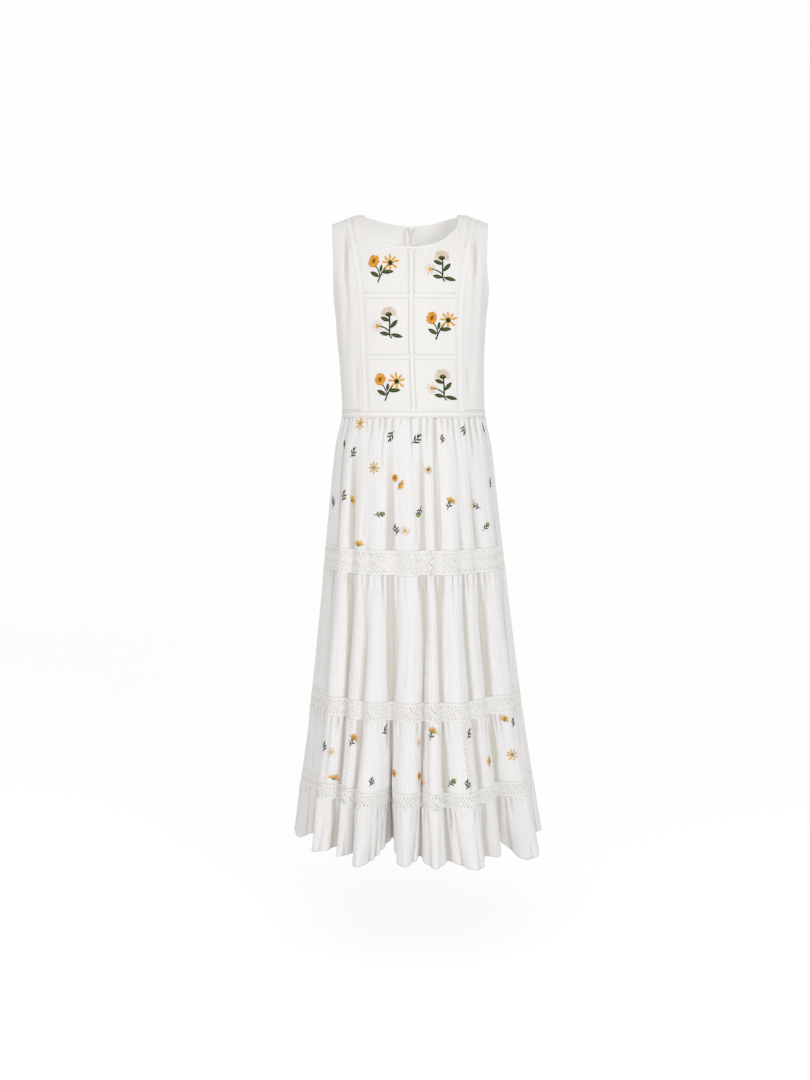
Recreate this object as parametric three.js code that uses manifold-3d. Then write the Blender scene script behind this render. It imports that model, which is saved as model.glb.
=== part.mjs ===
// Sleeveless midi dress in white striped cotton, standing open as it hangs from a wearer's shoulders.
// Millimetres. +Z is up, the front faces -Y, and the wearer's left is +X.
// The origin is midway between the two high shoulder points, where the shoulder seams meet the neck.
//
// The bodice has six embroidered squares set in ladder trims, two side fronts and two backs with a
// zip between them. Under a waist trim hang three gathered tiers and a ruffle, joined by lace.

import * as THREE from 'three';
import { mergeVertices } from 'three/addons/utils/BufferGeometryUtils.js';
import Module from 'manifold-3d';

// ---------------------------------------------------------------- driving dimensions

const GAP = 0.3; // between pieces at a seam
const HALF_GAP = GAP / 2;
const COTTON = 1.6; // wall of a cotton panel
const LACE = 1.2;
const LADDER = 2.2; // wall of a ladder trim, proud of the panels beside it
const BINDING = 2.4;
const PIPING = 2.8; // wall of the waist trim

// The dress in horizontal sections: height, half width, reach to the front and to the back,
// squareness of the oval, and how far the section's middle lies to the wearer's left.
const SECTIONS = [
  { z: 10, side: 188, front: 91, back: 92, square: 2.3, shift: 0 },
  { z: -25, side: 186, front: 94, back: 94, square: 2.3, shift: 0 },
  { z: -76, side: 181, front: 102, back: 98, square: 2.3, shift: 0 },
  { z: -139, side: 172, front: 111, back: 101, square: 2.3, shift: 0 },
  { z: -193, side: 158.6, front: 114, back: 101, square: 2.3, shift: 0 },
  { z: -256, side: 153.5, front: 112, back: 99, square: 2.3, shift: 0 },
  { z: -330, side: 149, front: 108, back: 98, square: 2.25, shift: 0 },
  { z: -409, side: 148, front: 106, back: 100, square: 2.2, shift: 1 },
  { z: -433, side: 150, front: 108, back: 103, square: 2.2, shift: 1 },
  { z: -483, side: 161, front: 118, back: 113, square: 2.15, shift: 2 },
  { z: -584, side: 172, front: 135, back: 131, square: 2.1, shift: 4 },
  { z: -688, side: 182, front: 150, back: 147, square: 2.1, shift: 6 },
  { z: -811, side: 194, front: 168, back: 166, square: 2.05, shift: 8 },
  { z: -990, side: 212, front: 193, back: 192, square: 2, shift: 10 },
  { z: -1100, side: 224, front: 208, back: 207, square: 2, shift: 12 },
  { z: -1190, side: 234, front: 218, back: 217, square: 2, shift: 13 },
  { z: -1300, side: 247, front: 229, back: 228, square: 2, shift: 15 },
];

const NECK = { half: 97, front: 78, back: 23, round: 2.3 };
const NECK_BINDING = { half: 5, front: 5, back: 3.5 }; // its width, on the shoulder, front and back
const SHOULDER = { tip: 165, drop: 21 };
const CHEST_ROLL = 193; // height over which the front turns over the shoulder
const BACK_ROLL = 120;
const ARMHOLE_BOTTOM = -193;
const SIDE_SEAM_SHARE = 0.05; // of the oval's level, where the cloth already faces sideways
const ARMHOLE_EDGE = [
  { z: -21, x: 165 },
  { z: -76, x: 162 },
  { z: -139, x: 159.5 },
  { z: -193, x: 158.6 },
];

const WAIST = { top: -409, bottom: -421 };
const CENTRE_TRIM = 10;
const EDGE_TRIM = 14;
const CROSS_TRIM = 8;
const CROSS_TRIM_TOPS = [-176, -299];
// The seam between the panel of squares and the side front, from the shoulder to the waist.
const FRONT_SEAM = [
  { z: 0, x: 139 },
  { z: -60, x: 126 },
  { z: -120, x: 115 },
  { z: -180, x: 108 },
  { z: -250, x: 104.5 },
  { z: -409, x: 103.5 },
];

// The skirt from the waist down. Each band hangs from the one above it.
const BANDS = [
  { name: 'tier_1', top: -421, bottom: -688, wall: COTTON, rows: 3, centreBackSeam: true },
  { name: 'lace_1', top: -688, bottom: -736, wall: LACE, rows: 1 },
  { name: 'tier_2', top: -736, bottom: -990, wall: COTTON, rows: 3 },
  { name: 'lace_2', top: -990, bottom: -1026, wall: LACE, rows: 1 },
  { name: 'tier_3', top: -1026, bottom: -1166, wall: COTTON, rows: 2 },
  { name: 'lace_3', top: -1166, bottom: -1195, wall: LACE, rows: 1 },
  { name: 'ruffle', top: -1195, bottom: -1300, wall: COTTON, rows: 2, hem: true },
];
const HEM_RISE = 0.3; // the hem rises in a valley, by this share of the valley's depth

// The folds that run down the skirt, ridge and valley in turn, from the wearer's right side seam
// round the front to the left one, and on round the back.
// high, half, low: where the fold lies at the waist, at tier 2 and at the hem, in degrees from the
// front's middle. tier1 to hem: how far the cloth stands out there, or in if it is negative.
const FOLDS = [
  { high: -90, half: -90, low: -90, tier1: 2, tier2: 5, tier3: 9, hem: 18 },
  { high: -66, half: -63, low: -63, tier1: -2, tier2: -5, tier3: -9, hem: -24 },
  { high: -55, half: -51, low: -50.5, tier1: 3, tier2: 7, tier3: 12, hem: 22 },
  { high: -46, half: -42, low: -41, tier1: -3, tier2: -8, tier3: -9, hem: -14 },
  { high: -36, half: -35, low: -35.5, tier1: 3, tier2: 8, tier3: 10, hem: 16 },
  { high: -30, half: -29, low: -30.5, tier1: 1, tier2: 5, tier3: 3, hem: -6 },
  { high: -24, half: -24, low: -24, tier1: 4, tier2: 10, tier3: 19, hem: 42 },
  { high: -15.5, half: -14.5, low: -15.5, tier1: -4, tier2: -11, tier3: -24, hem: -60 },
  { high: -4, half: -2, low: -6.5, tier1: 4, tier2: 9, tier3: 13, hem: 26 },
  { high: 4.5, half: 5.5, low: 0.5, tier1: -4, tier2: -12, tier3: -12, hem: -12 },
  { high: 10, half: 10, low: 7, tier1: 2, tier2: 2, tier3: 14, hem: 34 },
  { high: 14, half: 13.5, low: 13, tier1: -2.5, tier2: -7, tier3: -4, hem: 4 },
  { high: 24, half: 22, low: 23.5, tier1: 5, tier2: 12, tier3: 22, hem: 50 },
  { high: 31, half: 31, low: 32.5, tier1: 0, tier2: -3, tier3: 2, hem: 4 },
  { high: 35.5, half: 36, low: 38, tier1: 1, tier2: 0, tier3: 5, hem: 14 },
  { high: 44, half: 45, low: 51, tier1: -3, tier2: -8, tier3: -16, hem: -40 },
  { high: 60, half: 60, low: 69, tier1: 3, tier2: 8, tier3: 14, hem: 28 },
  { high: 75, half: 75, low: 80, tier1: -3, tier2: -6, tier3: -8, hem: -14 },
  { high: 90, half: 90, low: 90, tier1: 3, tier2: 6, tier3: 10, hem: 19 },
  { high: 100, half: 101, low: 102, tier1: -3, tier2: -8, tier3: -12, hem: -28 },
  { high: 112, half: 113, low: 113, tier1: 3, tier2: 8, tier3: 14, hem: 28 },
  { high: 122, half: 122, low: 123, tier1: -2, tier2: -6, tier3: -10, hem: -14 },
  { high: 131, half: 130, low: 131, tier1: 3, tier2: 7, tier3: 12, hem: 22 },
  { high: 140, half: 141, low: 142, tier1: -3, tier2: -10, tier3: -16, hem: -42 },
  { high: 152, half: 153, low: 154, tier1: 4, tier2: 10, tier3: 17, hem: 36 },
  { high: 164, half: 163, low: 165, tier1: -3, tier2: -8, tier3: -10, hem: -20 },
  { high: 171, half: 172, low: 172, tier1: 0, tier2: 3, tier3: 7, hem: 18 },
  { high: 180, half: 180, low: 180, tier1: -1, tier2: -5, tier3: -12, hem: -34 },
  { high: 190, half: 190, low: 189, tier1: 2, tier2: 8, tier3: 14, hem: 30 },
  { high: 200, half: 201, low: 201, tier1: -3, tier2: -9, tier3: -12, hem: -24 },
  { high: 211, half: 211, low: 212, tier1: 4, tier2: 9, tier3: 16, hem: 32 },
  { high: 223, half: 224, low: 224, tier1: -3, tier2: -9, tier3: -15, hem: -36 },
  { high: 233, half: 233, low: 234, tier1: 2, tier2: 6, tier3: 9, hem: 16 },
  { high: 240, half: 240, low: 241, tier1: 0, tier2: -3, tier3: -3, hem: -6 },
  { high: 248, half: 248, low: 248, tier1: 3, tier2: 8, tier3: 13, hem: 26 },
  { high: 259, half: 260, low: 260, tier1: -3, tier2: -8, tier3: -12, hem: -26 },
  { high: 270, half: 270, low: 270, tier1: 2, tier2: 5, tier3: 9, hem: 18 },
];
// The heights at which the columns of FOLDS hold.
const FOLD_PLACES = [
  { z: -421, column: 'high' },
  { z: -860, column: 'half' },
  { z: -1300, column: 'low' },
];
const FOLD_DEPTHS = [
  { z: -421, column: null },
  { z: -600, column: 'tier1' },
  { z: -863, column: 'tier2' },
  { z: -1096, column: 'tier3' },
  { z: -1300, column: 'hem' },
];

const ZIP = { bottom: -560, tape: 24, tapeWall: 1.2, coil: 4.5, coilWall: 1.8, clear: 1.4 };
const SLIDER = {
  z: -41, width: 5.6, length: 8.4, plate: 1.6, corner: 1, taper: 0.68, // the plate
  bridge: 1.6, foot: 1, rise: 2.9, endGap: 0.4, sunk: 0.1, // the bridge on it
};
const TAB = { wall: 1, width: 5.6, length: 17, tail: 1.9, eye: 2.4, eyeEnd: 4.7, bar: 1, clear: 0.5 };

const COLOURS = {
  cotton: 0xf0ede6,
  lace: 0xece9e2,
  trim: 0xf3f0e9,
  tape: 0xe9e2d4,
  zip: 0xdcd3c2,
};

// ---------------------------------------------------------------- numbers

const mix = THREE.MathUtils.lerp;
const clamp = THREE.MathUtils.clamp;
const radians = THREE.MathUtils.degToRad;
const signedPower = (value, power) => Math.sign(value) * Math.abs(value) ** power;
const ease = (part) => (1 - Math.cos(Math.PI * part)) / 2;
const range = (count) => Array.from({ length: count + 1 }, (_, i) => i / count);

// A smooth curve through one column of a table whose rows run from high z to low z.
function curve(table, column, z) {
  let i = 0;
  while (i < table.length - 2 && z < table[i + 1].z) i += 1;
  const [a, b] = [table[i], table[i + 1]];
  const before = table[Math.max(i - 1, 0)];
  const after = table[Math.min(i + 2, table.length - 1)];
  const slope = (p, q) => (q[column] - p[column]) / (q.z - p.z);
  const span = b.z - a.z;
  const u = clamp((z - a.z) / span, 0, 1);
  const leave = slope(before, b) * span * u * (1 - u) ** 2;
  const arrive = slope(a, after) * span * u ** 2 * (1 - u);
  return mix(a[column], b[column], u * u * (3 - 2 * u)) + leave - arrive;
}

function section(z) {
  const at = (column) => curve(SECTIONS, column, z);
  return {
    side: at('side'),
    front: at('front'),
    back: at('back'),
    square: at('square'),
    shift: at('shift'),
  };
}

// ---------------------------------------------------------------- the bodice's form

const FRONT = -1;
const BACK = 1;

function shoulderTop(x) {
  return -SHOULDER.drop * Math.max(0, (Math.abs(x) - NECK.half) / (SHOULDER.tip - NECK.half));
}

// 0 at the shoulder's top, 1 where the cloth has turned down.
function turned(face, x, z) {
  return clamp((shoulderTop(x) - z) / (face === FRONT ? CHEST_ROLL : BACK_ROLL), 0, 1);
}

// A place on a section as an angle from its middle, and back again.
function angleOf(x, z) {
  const { side, square } = section(z);
  return Math.asin(clamp(signedPower(x / side, square / 2), -1, 1));
}

function widthAt(angle, z) {
  const { side, square } = section(z);
  return side * signedPower(Math.sin(angle), 2 / square);
}

// Which way the cloth faces: the slope of a level that is 1 on the cloth.
function facing(face, x, y, z) {
  const nearSeam = 1 - (Math.abs(x) / section(z).side) ** section(z).square < SIDE_SEAM_SHARE;
  const level = (px, py, pz) => {
    const s = section(pz);
    const across = (Math.abs(px) / s.side) ** s.square;
    const out = Math.abs(py) / (face === FRONT ? s.front : s.back);
    const left = 1 - turned(face, px, pz);
    if (nearSeam || left === 0) return across + (out / Math.sqrt(1 - left ** 2)) ** s.square;
    return left ** 2 + (out / (1 - across) ** (1 / s.square)) ** 2;
  };
  const step = 0.02;
  const slope = (dx, dy, dz) =>
    level(x + dx, y + dy, z + dz) - level(x - dx, y - dy, z - dz);
  return new THREE.Vector3(slope(step, 0, 0), slope(0, step, 0), slope(0, 0, step)).normalize();
}

// A point on the middle of the bodice's cloth, with the way that it faces.
function onBodice(face, x, z) {
  const s = section(z);
  const depth = face === FRONT ? s.front : s.back;
  const across = clamp(1 - (Math.abs(x) / s.side) ** s.square, 0, 1) ** (1 / s.square);
  const roll = Math.sqrt(1 - (1 - turned(face, x, z)) ** 2);
  const y = face * Math.max(HALF_GAP, depth * across * roll);
  return { at: new THREE.Vector3(x, y, z), out: facing(face, x, y, z) };
}

// ---------------------------------------------------------------- the skirt's form

// A column of FOLDS at any height, eased from one stated height to the next.
function foldValue(fold, stops, z) {
  let i = 0;
  while (i < stops.length - 2 && z < stops[i + 1].z) i += 1;
  const part = clamp((z - stops[i].z) / (stops[i + 1].z - stops[i].z), 0, 1);
  const value = ({ column }) => (column ? fold[column] : 0);
  return mix(value(stops[i]), value(stops[i + 1]), part);
}

// How far the folds carry the cloth out at an angle in degrees and a height.
function foldOut(angle, z) {
  let i = 0;
  while (i < FOLDS.length - 2 && angle > foldValue(FOLDS[i + 1], FOLD_PLACES, z)) i += 1;
  const [from, to] = [FOLDS[i], FOLDS[i + 1]];
  const start = foldValue(from, FOLD_PLACES, z);
  const end = foldValue(to, FOLD_PLACES, z);
  const part = ease(clamp((angle - start) / (end - start), 0, 1));
  return mix(foldValue(from, FOLD_DEPTHS, z), foldValue(to, FOLD_DEPTHS, z), part);
}

function skirtPoint(angle, z) {
  const s = section(z);
  const [sine, cosine] = [Math.sin(radians(angle)), Math.cos(radians(angle))];
  const depth = cosine > 0 ? s.front : s.back;
  const x = s.side * signedPower(sine, 2 / s.square);
  const y = -depth * signedPower(cosine, 2 / s.square);
  const away = new THREE.Vector2(
    signedPower(x / s.side, s.square - 1) / s.side,
    signedPower(y / depth, s.square - 1) / depth,
  ).normalize();
  const out = foldOut(angle, z);
  return new THREE.Vector3(x + s.shift + away.x * out, y + away.y * out, z);
}

// A point on the middle of the skirt's cloth. lift raises it without moving it in or out, as the
// hem does in a valley, and inset draws it back from a side seam along the cloth.
function onSkirt(angle, z, { lift = 0, inset = 0 } = {}) {
  const [turn, drop] = [0.4, 2];
  const along = skirtPoint(angle + turn, z).sub(skirtPoint(angle - turn, z)).normalize();
  const up = skirtPoint(angle, z + drop).sub(skirtPoint(angle, z - drop));
  const at = skirtPoint(angle, z).addScaledVector(along, inset);
  at.z += lift;
  return { at, out: along.clone().cross(up).normalize() };
}

// ---------------------------------------------------------------- cloth walls

// A wall of cloth over a grid of points, closed round its four edges.
function clothWall(grid, wall) {
  const faceAt = (offset) =>
    grid.map((row) => row.map(({ at, out }) => at.clone().addScaledVector(out, offset)));
  const [outer, inner] = [faceAt(wall / 2), faceAt(-wall / 2)];
  const [rows, columns] = [grid.length - 1, grid[0].length - 1];
  const quads = [];
  for (let i = 0; i < rows; i += 1) {
    for (let j = 0; j < columns; j += 1) {
      quads.push([outer[i][j], outer[i + 1][j], outer[i + 1][j + 1], outer[i][j + 1]]);
      quads.push([inner[i][j + 1], inner[i + 1][j + 1], inner[i + 1][j], inner[i][j]]);
    }
  }
  for (let j = 0; j < columns; j += 1) {
    quads.push([inner[0][j], outer[0][j], outer[0][j + 1], inner[0][j + 1]]);
    quads.push([outer[rows][j], inner[rows][j], inner[rows][j + 1], outer[rows][j + 1]]);
  }
  for (let i = 0; i < rows; i += 1) {
    quads.push([outer[i][0], inner[i][0], inner[i + 1][0], outer[i + 1][0]]);
    quads.push([inner[i][columns], outer[i][columns], outer[i + 1][columns], inner[i + 1][columns]]);
  }
  const [a, b, c] = [outer[0][0], outer[1][0], outer[1][1]];
  const turn = b.clone().sub(a).cross(c.clone().sub(a));
  const facesOut = turn.dot(grid[0][0].out) > 0;
  const corners = [];
  quads.forEach(([p, q, r, s]) => {
    corners.push(...(facesOut ? [p, q, r, p, r, s] : [p, r, q, p, s, r]));
  });
  return new THREE.BufferGeometry().setFromPoints(corners);
}

// A piece of the bodice. Its columns run down from the tops given, each an x and a z.
// inner and outer give the x of its two side edges at a height. levels gives a column's heights,
// from its top's height and the column's share of the way across.
function panel({ face, hand = 1, tops, inner, outer, levels, wall = COTTON }) {
  const share = (x, z) => {
    const [from, to] = [angleOf(inner(z), z), angleOf(outer(z), z)];
    return (angleOf(x, z) - from) / (to - from);
  };
  const columns = tops.map((top, j) => {
    const evenly = j / (tops.length - 1);
    const heights = levels(top.z, evenly);
    const bottom = heights[heights.length - 1];
    return heights.map((z) => {
      const across = mix(share(top.x, top.z), evenly, (top.z - z) / (top.z - bottom));
      const x = widthAt(mix(angleOf(inner(z), z), angleOf(outer(z), z), across), z);
      return onBodice(face, hand * x, z);
    });
  });
  const grid = columns[0].map((_, row) => columns.map((column) => column[row]));
  return clothWall(grid, wall);
}

// ---------------------------------------------------------------- edges of the bodice's pieces

const frontSeam = (z) => curve(FRONT_SEAM, 'x', z);
const squareEdge = (z) => frontSeam(z) - EDGE_TRIM;
const sideEdge = (z) => (z > ARMHOLE_BOTTOM ? curve(ARMHOLE_EDGE, 'x', z) : section(z).side);
const constant = (value) => () => value;

// A point on the neck's edge, grown by a share of the binding's width. The turn goes from 0 at the
// middle to 90 degrees on the shoulder.
function neckPoint(face, turn, grown) {
  const half = NECK.half + grown * NECK_BINDING.half;
  const fall = face === FRONT
    ? NECK.front + grown * NECK_BINDING.front
    : NECK.back + grown * NECK_BINDING.back;
  const x = half * signedPower(Math.sin(radians(turn)), 2 / NECK.round);
  const rise = Math.max(0, Math.cos(radians(turn)));
  return { x, z: shoulderTop(x) - fall * rise ** (2 / NECK.round) };
}

// The turn at which the neck's edge is this far from the middle.
function neckTurn(x, grown) {
  const half = NECK.half + grown * NECK_BINDING.half;
  return THREE.MathUtils.radToDeg(Math.asin((x / half) ** (NECK.round / 2)));
}

// Where an upright edge meets the shoulder.
function onShoulder(edge) {
  let z = 0;
  for (let i = 0; i < 8; i += 1) z = shoulderTop(edge(z));
  return { x: edge(z), z };
}

// Points along the shoulder, with both ends.
function alongShoulder(from, to, count) {
  return range(count).map((part) => {
    const x = mix(from, to, part);
    return { x, z: shoulderTop(x) };
  });
}

// Where the pieces under the neck binding start, in widths of the binding.
const UNDER_BINDING = 1 + GAP / NECK_BINDING.back;
// The turns at which the neck's edge has its corners, between the middle and the shoulder.
const NECK_TURNS = {
  [FRONT]: [15, 30, 44, 57, 69, 80],
  [BACK]: [20, 40, 58, 75],
};

// Columns that start on the neck's edge, then along the shoulder to its outer edge.
function neckTops(face, firstX, shoulderEnd, shoulderCount) {
  const first = neckTurn(firstX, UNDER_BINDING);
  const onNeck = [first, ...NECK_TURNS[face]].map((turn) => neckPoint(face, turn, UNDER_BINDING));
  const last = neckPoint(face, 90, UNDER_BINDING);
  return [...onNeck, ...alongShoulder(last.x, shoulderEnd, shoulderCount)];
}

const lowestBodice = WAIST.top + HALF_GAP;
// The rows of a piece beside the panel's seam: they close up towards the shoulder, where the cloth
// turns over, as shares of the height above the first cross trim, and then lie at set heights.
const SHOULDER_ROWS = [0, 0.012, 0.05, 0.15, 0.36, 0.68, 1];
const SQUARE_ROWS = [[-212, -240, -270], [-358]];
// The heights of a piece's rows at the armhole and down the side seam, as many as at the panel's seam.
const ARMHOLE_ROWS = [-21, -23, -30, -46, -75, -110, -145, -170, -184, -190, -193, -240, -300, -355];

const shoulderLevels = (top) => SHOULDER_ROWS.map((part) => mix(top, CROSS_TRIM_TOPS[0] + HALF_GAP, part));
const seamLevels = (top) => [
  ...shoulderLevels(top),
  CROSS_TRIM_TOPS[0] - CROSS_TRIM - HALF_GAP,
  ...SQUARE_ROWS[0],
  CROSS_TRIM_TOPS[1] + HALF_GAP,
  CROSS_TRIM_TOPS[1] - CROSS_TRIM - HALF_GAP,
  ...SQUARE_ROWS[1],
  lowestBodice,
];
// Rows that follow the panel's seam at one edge and the armhole at the other.
const sideLevels = (top, across) => {
  const outer = [...ARMHOLE_ROWS, lowestBodice];
  return seamLevels(top).map((z, row) => (row === 0 ? top : mix(z, outer[row], across)));
};
// Rows of a back: those of the armhole, drawn towards the column's own top.
const backLevels = (top) => [...ARMHOLE_ROWS, lowestBodice].map((z) => {
  const part = (z + SHOULDER.drop) / (lowestBodice + SHOULDER.drop);
  return mix(top, lowestBodice, part);
});

// ---------------------------------------------------------------- the pieces

const dress = new THREE.Group();

function add(name, geometry, colour, { roughness = 0.9, metalness = 0 } = {}) {
  const material = new THREE.MeshStandardMaterial({ color: colour, roughness, metalness });
  const mesh = new THREE.Mesh(geometry, material);
  mesh.name = name;
  dress.add(mesh);
  return mesh;
}

const HANDS = [
  { name: 'left', sign: 1 },
  { name: 'right', sign: -1 },
];

// Six squares, two across and three down, with the ladder trims between them.
function addSquares({ name, sign }) {
  const inner = constant(CENTRE_TRIM / 2 + HALF_GAP);
  const outer = (z) => squareEdge(z) - HALF_GAP;
  const side = { face: FRONT, hand: sign, inner, outer };
  const level = (z) => range(3).map((part) => ({ x: mix(inner(z), outer(z), part), z }));
  const upper = neckTops(FRONT, inner(0), onShoulder(outer).x, 1);
  const upperSquare = panel({ ...side, tops: upper, levels: shoulderLevels });
  add(`front_square_1_${name}`, upperSquare, COLOURS.cotton);
  CROSS_TRIM_TOPS.forEach((z, row) => {
    const [trimTop, trimBottom] = [z - HALF_GAP, z - CROSS_TRIM + HALF_GAP];
    const trimLevels = constant([trimTop, trimBottom]);
    const trim = panel({ ...side, tops: level(trimTop), levels: trimLevels, wall: LADDER });
    add(`cross_trim_${row + 1}_${name}`, trim, COLOURS.trim);
    const top = z - CROSS_TRIM - HALF_GAP;
    const bottom = row + 1 < CROSS_TRIM_TOPS.length ? CROSS_TRIM_TOPS[row + 1] + HALF_GAP : lowestBodice;
    const squareLevels = constant([top, ...SQUARE_ROWS[row], bottom]);
    const square = panel({ ...side, tops: level(top), levels: squareLevels });
    add(`front_square_${row + 2}_${name}`, square, COLOURS.cotton);
  });
}

function addCentreTrim() {
  const half = CENTRE_TRIM / 2 - HALF_GAP;
  const { z } = neckPoint(FRONT, neckTurn(half, UNDER_BINDING), UNDER_BINDING);
  const geometry = panel({
    face: FRONT,
    tops: [{ x: -half, z }, { x: half, z }],
    inner: constant(-half),
    outer: constant(half),
    levels: (top) => range(8).map((part) => mix(top, lowestBodice, part)),
    wall: LADDER,
  });
  add('centre_trim', geometry, COLOURS.trim);
}

function addEdgeTrim({ name, sign }) {
  const inner = (z) => squareEdge(z) + HALF_GAP;
  const outer = (z) => frontSeam(z) - HALF_GAP;
  const tops = [onShoulder(inner), onShoulder(outer)];
  const geometry = panel({
    face: FRONT, hand: sign, tops, inner, outer, levels: seamLevels, wall: LADDER,
  });
  add(`edge_trim_${name}`, geometry, COLOURS.trim);
}

function addSideFront({ name, sign }) {
  const inner = (z) => frontSeam(z) + HALF_GAP;
  const tops = alongShoulder(onShoulder(inner).x, SHOULDER.tip, 4);
  const geometry = panel({
    face: FRONT, hand: sign, tops, inner, outer: sideEdge, levels: sideLevels,
  });
  add(`side_front_${name}`, geometry, COLOURS.cotton);
}

function addBack({ name, sign }) {
  const inner = constant(HALF_GAP);
  const tops = neckTops(BACK, HALF_GAP, SHOULDER.tip, 3);
  const geometry = panel({
    face: BACK, hand: sign, tops, inner, outer: sideEdge, levels: backLevels,
  });
  add(`back_${name}`, geometry, COLOURS.cotton);
}

// The binding along the neck's edge, through turns that are negative on the wearer's right.
function neckStrip(face, turns) {
  const grid = [0, 1].map((grown) =>
    turns.map((turn) => {
      const { x, z } = neckPoint(face, Math.abs(turn), grown);
      return onBodice(face, Math.sign(turn) * x, z);
    }),
  );
  return clothWall(grid, BINDING);
}

function addNeckBinding() {
  const half = [neckTurn(CENTRE_TRIM / 2 + HALF_GAP, UNDER_BINDING), ...NECK_TURNS[FRONT], 90];
  const frontTurns = [...half.map((turn) => -turn).reverse(), ...half];
  add('neck_binding_front', neckStrip(FRONT, frontTurns), COLOURS.trim);
  HANDS.forEach(({ name, sign }) => {
    const turns = [neckTurn(HALF_GAP, UNDER_BINDING), ...NECK_TURNS[BACK], 90];
    const strip = neckStrip(BACK, turns.map((turn) => sign * turn));
    add(`neck_binding_back_${name}`, strip, COLOURS.trim);
  });
}

// Where a skirt piece has its columns between one fold line and the next: just off both lines, so
// that ridges and valleys are blunt, and the facets run down the folds.
const FOLD_COLUMNS = [0.2, 0.8];

// One stretch of a skirt band, from one fold line to another.
function skirtStretch({ first, last, top, bottom, rows, wall, hem = false, between = FOLD_COLUMNS }) {
  const lines = FOLDS.slice(first, last + 1);
  const spots = lines.slice(1).flatMap((_, line) => between.map((share) => ({ line, share })));
  const start = { line: 0, share: 0, inset: HALF_GAP };
  const end = { line: lines.length - 2, share: 1, inset: -HALF_GAP };
  const columns = [start, ...spots, end];
  const grid = range(rows).map((part) => {
    const z = mix(top - HALF_GAP, bottom + (hem ? 0 : HALF_GAP), part);
    return columns.map(({ line, share, inset = 0 }) => {
      const from = foldValue(lines[line], FOLD_PLACES, z);
      const to = foldValue(lines[line + 1], FOLD_PLACES, z);
      const angle = mix(from, to, share);
      const lift = hem ? HEM_RISE * part * Math.max(0, -foldOut(angle, z)) : 0;
      return onSkirt(angle, z, { lift, inset });
    });
  });
  return clothWall(grid, wall);
}

const LEFT_SEAM = FOLDS.findIndex((fold) => fold.high === 90);
const CENTRE_BACK = FOLDS.findIndex((fold) => fold.high === 180);
const RIGHT_SEAM = FOLDS.length - 1;

// A band round the dress: a front, and a back that is whole or is split at the middle.
function addRound(band, colour) {
  const stretches = [{ name: 'front', first: 0, last: LEFT_SEAM }];
  if (band.centreBackSeam) {
    stretches.push({ name: 'back_left', first: LEFT_SEAM, last: CENTRE_BACK });
    stretches.push({ name: 'back_right', first: CENTRE_BACK, last: RIGHT_SEAM });
  } else {
    stretches.push({ name: 'back', first: LEFT_SEAM, last: RIGHT_SEAM });
  }
  stretches.forEach(({ name, first, last }) => {
    add(`${band.name}_${name}`, skirtStretch({ ...band, first, last }), colour);
  });
}

// ---------------------------------------------------------------- the zip

// A strip down the middle of the back, inside the cloth.
function zipStrip(width, wall, depth) {
  const top = neckPoint(BACK, 0, UNDER_BINDING).z;
  const skirtRows = [WAIST.bottom, -465, -510, ZIP.bottom];
  const across = [-width / 2, 0, width / 2];
  const onBack = (x, z) => {
    if (z > WAIST.top) return onBodice(BACK, x, z);
    const angle = 180 - THREE.MathUtils.radToDeg(angleOf(x, z));
    return onSkirt(angle, z);
  };
  const grid = [...backLevels(top), ...skirtRows].map((z) =>
    across.map((x) => {
      const { at, out } = onBack(x, z);
      return { at: at.addScaledVector(out, -depth), out };
    }),
  );
  return clothWall(grid, wall);
}

function addZipTapes() {
  const tapeDepth = PIPING / 2 + GAP + ZIP.clear + ZIP.tapeWall / 2;
  const coilDepth = tapeDepth + ZIP.tapeWall / 2 + GAP + ZIP.coilWall / 2;
  add('zip_tape', zipStrip(ZIP.tape, ZIP.tapeWall, tapeDepth), COLOURS.tape);
  add('zip_coil', zipStrip(ZIP.coil, ZIP.coilWall, coilDepth), COLOURS.zip, { roughness: 0.5 });
}

// A frame of reference on the outer face of the back: x across, y down the cloth, z out of it.
function onZip() {
  const { at, out } = onBodice(BACK, 0, SLIDER.z);
  const across = new THREE.Vector3(1, 0, 0);
  const down = out.clone().cross(across);
  const place = new THREE.Group();
  place.position.copy(at).addScaledVector(out, COTTON / 2 + GAP);
  place.quaternion.setFromRotationMatrix(new THREE.Matrix4().makeBasis(across, down, out));
  return place;
}

function block(width, length, height, y, z) {
  return new THREE.BoxGeometry(width, length, height).translate(0, y, z + height / 2);
}

// The slider's plate, narrower at its lower end.
function sliderPlate() {
  const { corner, taper } = SLIDER;
  const [half, end] = [SLIDER.width / 2, SLIDER.length / 2];
  const shape = new THREE.Shape();
  shape.moveTo(-half, -end + corner);
  shape.quadraticCurveTo(-half, -end, -half + corner, -end);
  shape.lineTo(half - corner, -end);
  shape.quadraticCurveTo(half, -end, half, -end + corner);
  shape.lineTo(half * taper, end);
  shape.lineTo(-half * taper, end);
  shape.closePath();
  return new THREE.ExtrudeGeometry(shape, { depth: SLIDER.plate, bevelEnabled: false, curveSegments: 3 });
}

async function joined(geometries) {
  const wasm = await Module();
  wasm.setup();
  const solids = geometries.map((geometry) => {
    geometry.deleteAttribute('normal');
    geometry.deleteAttribute('uv');
    const merged = mergeVertices(geometry, 1e-4);
    return new wasm.Manifold(new wasm.Mesh({
      numProp: 3,
      vertProperties: new Float32Array(merged.attributes.position.array),
      triVerts: new Uint32Array(merged.index.array),
    }));
  });
  const { vertProperties, triVerts } = solids.reduce((whole, solid) => whole.add(solid)).getMesh();
  const geometry = new THREE.BufferGeometry();
  geometry.setAttribute('position', new THREE.BufferAttribute(new Float32Array(vertProperties), 3));
  geometry.setIndex(new THREE.BufferAttribute(new Uint32Array(triVerts), 1));
  return geometry;
}

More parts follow.
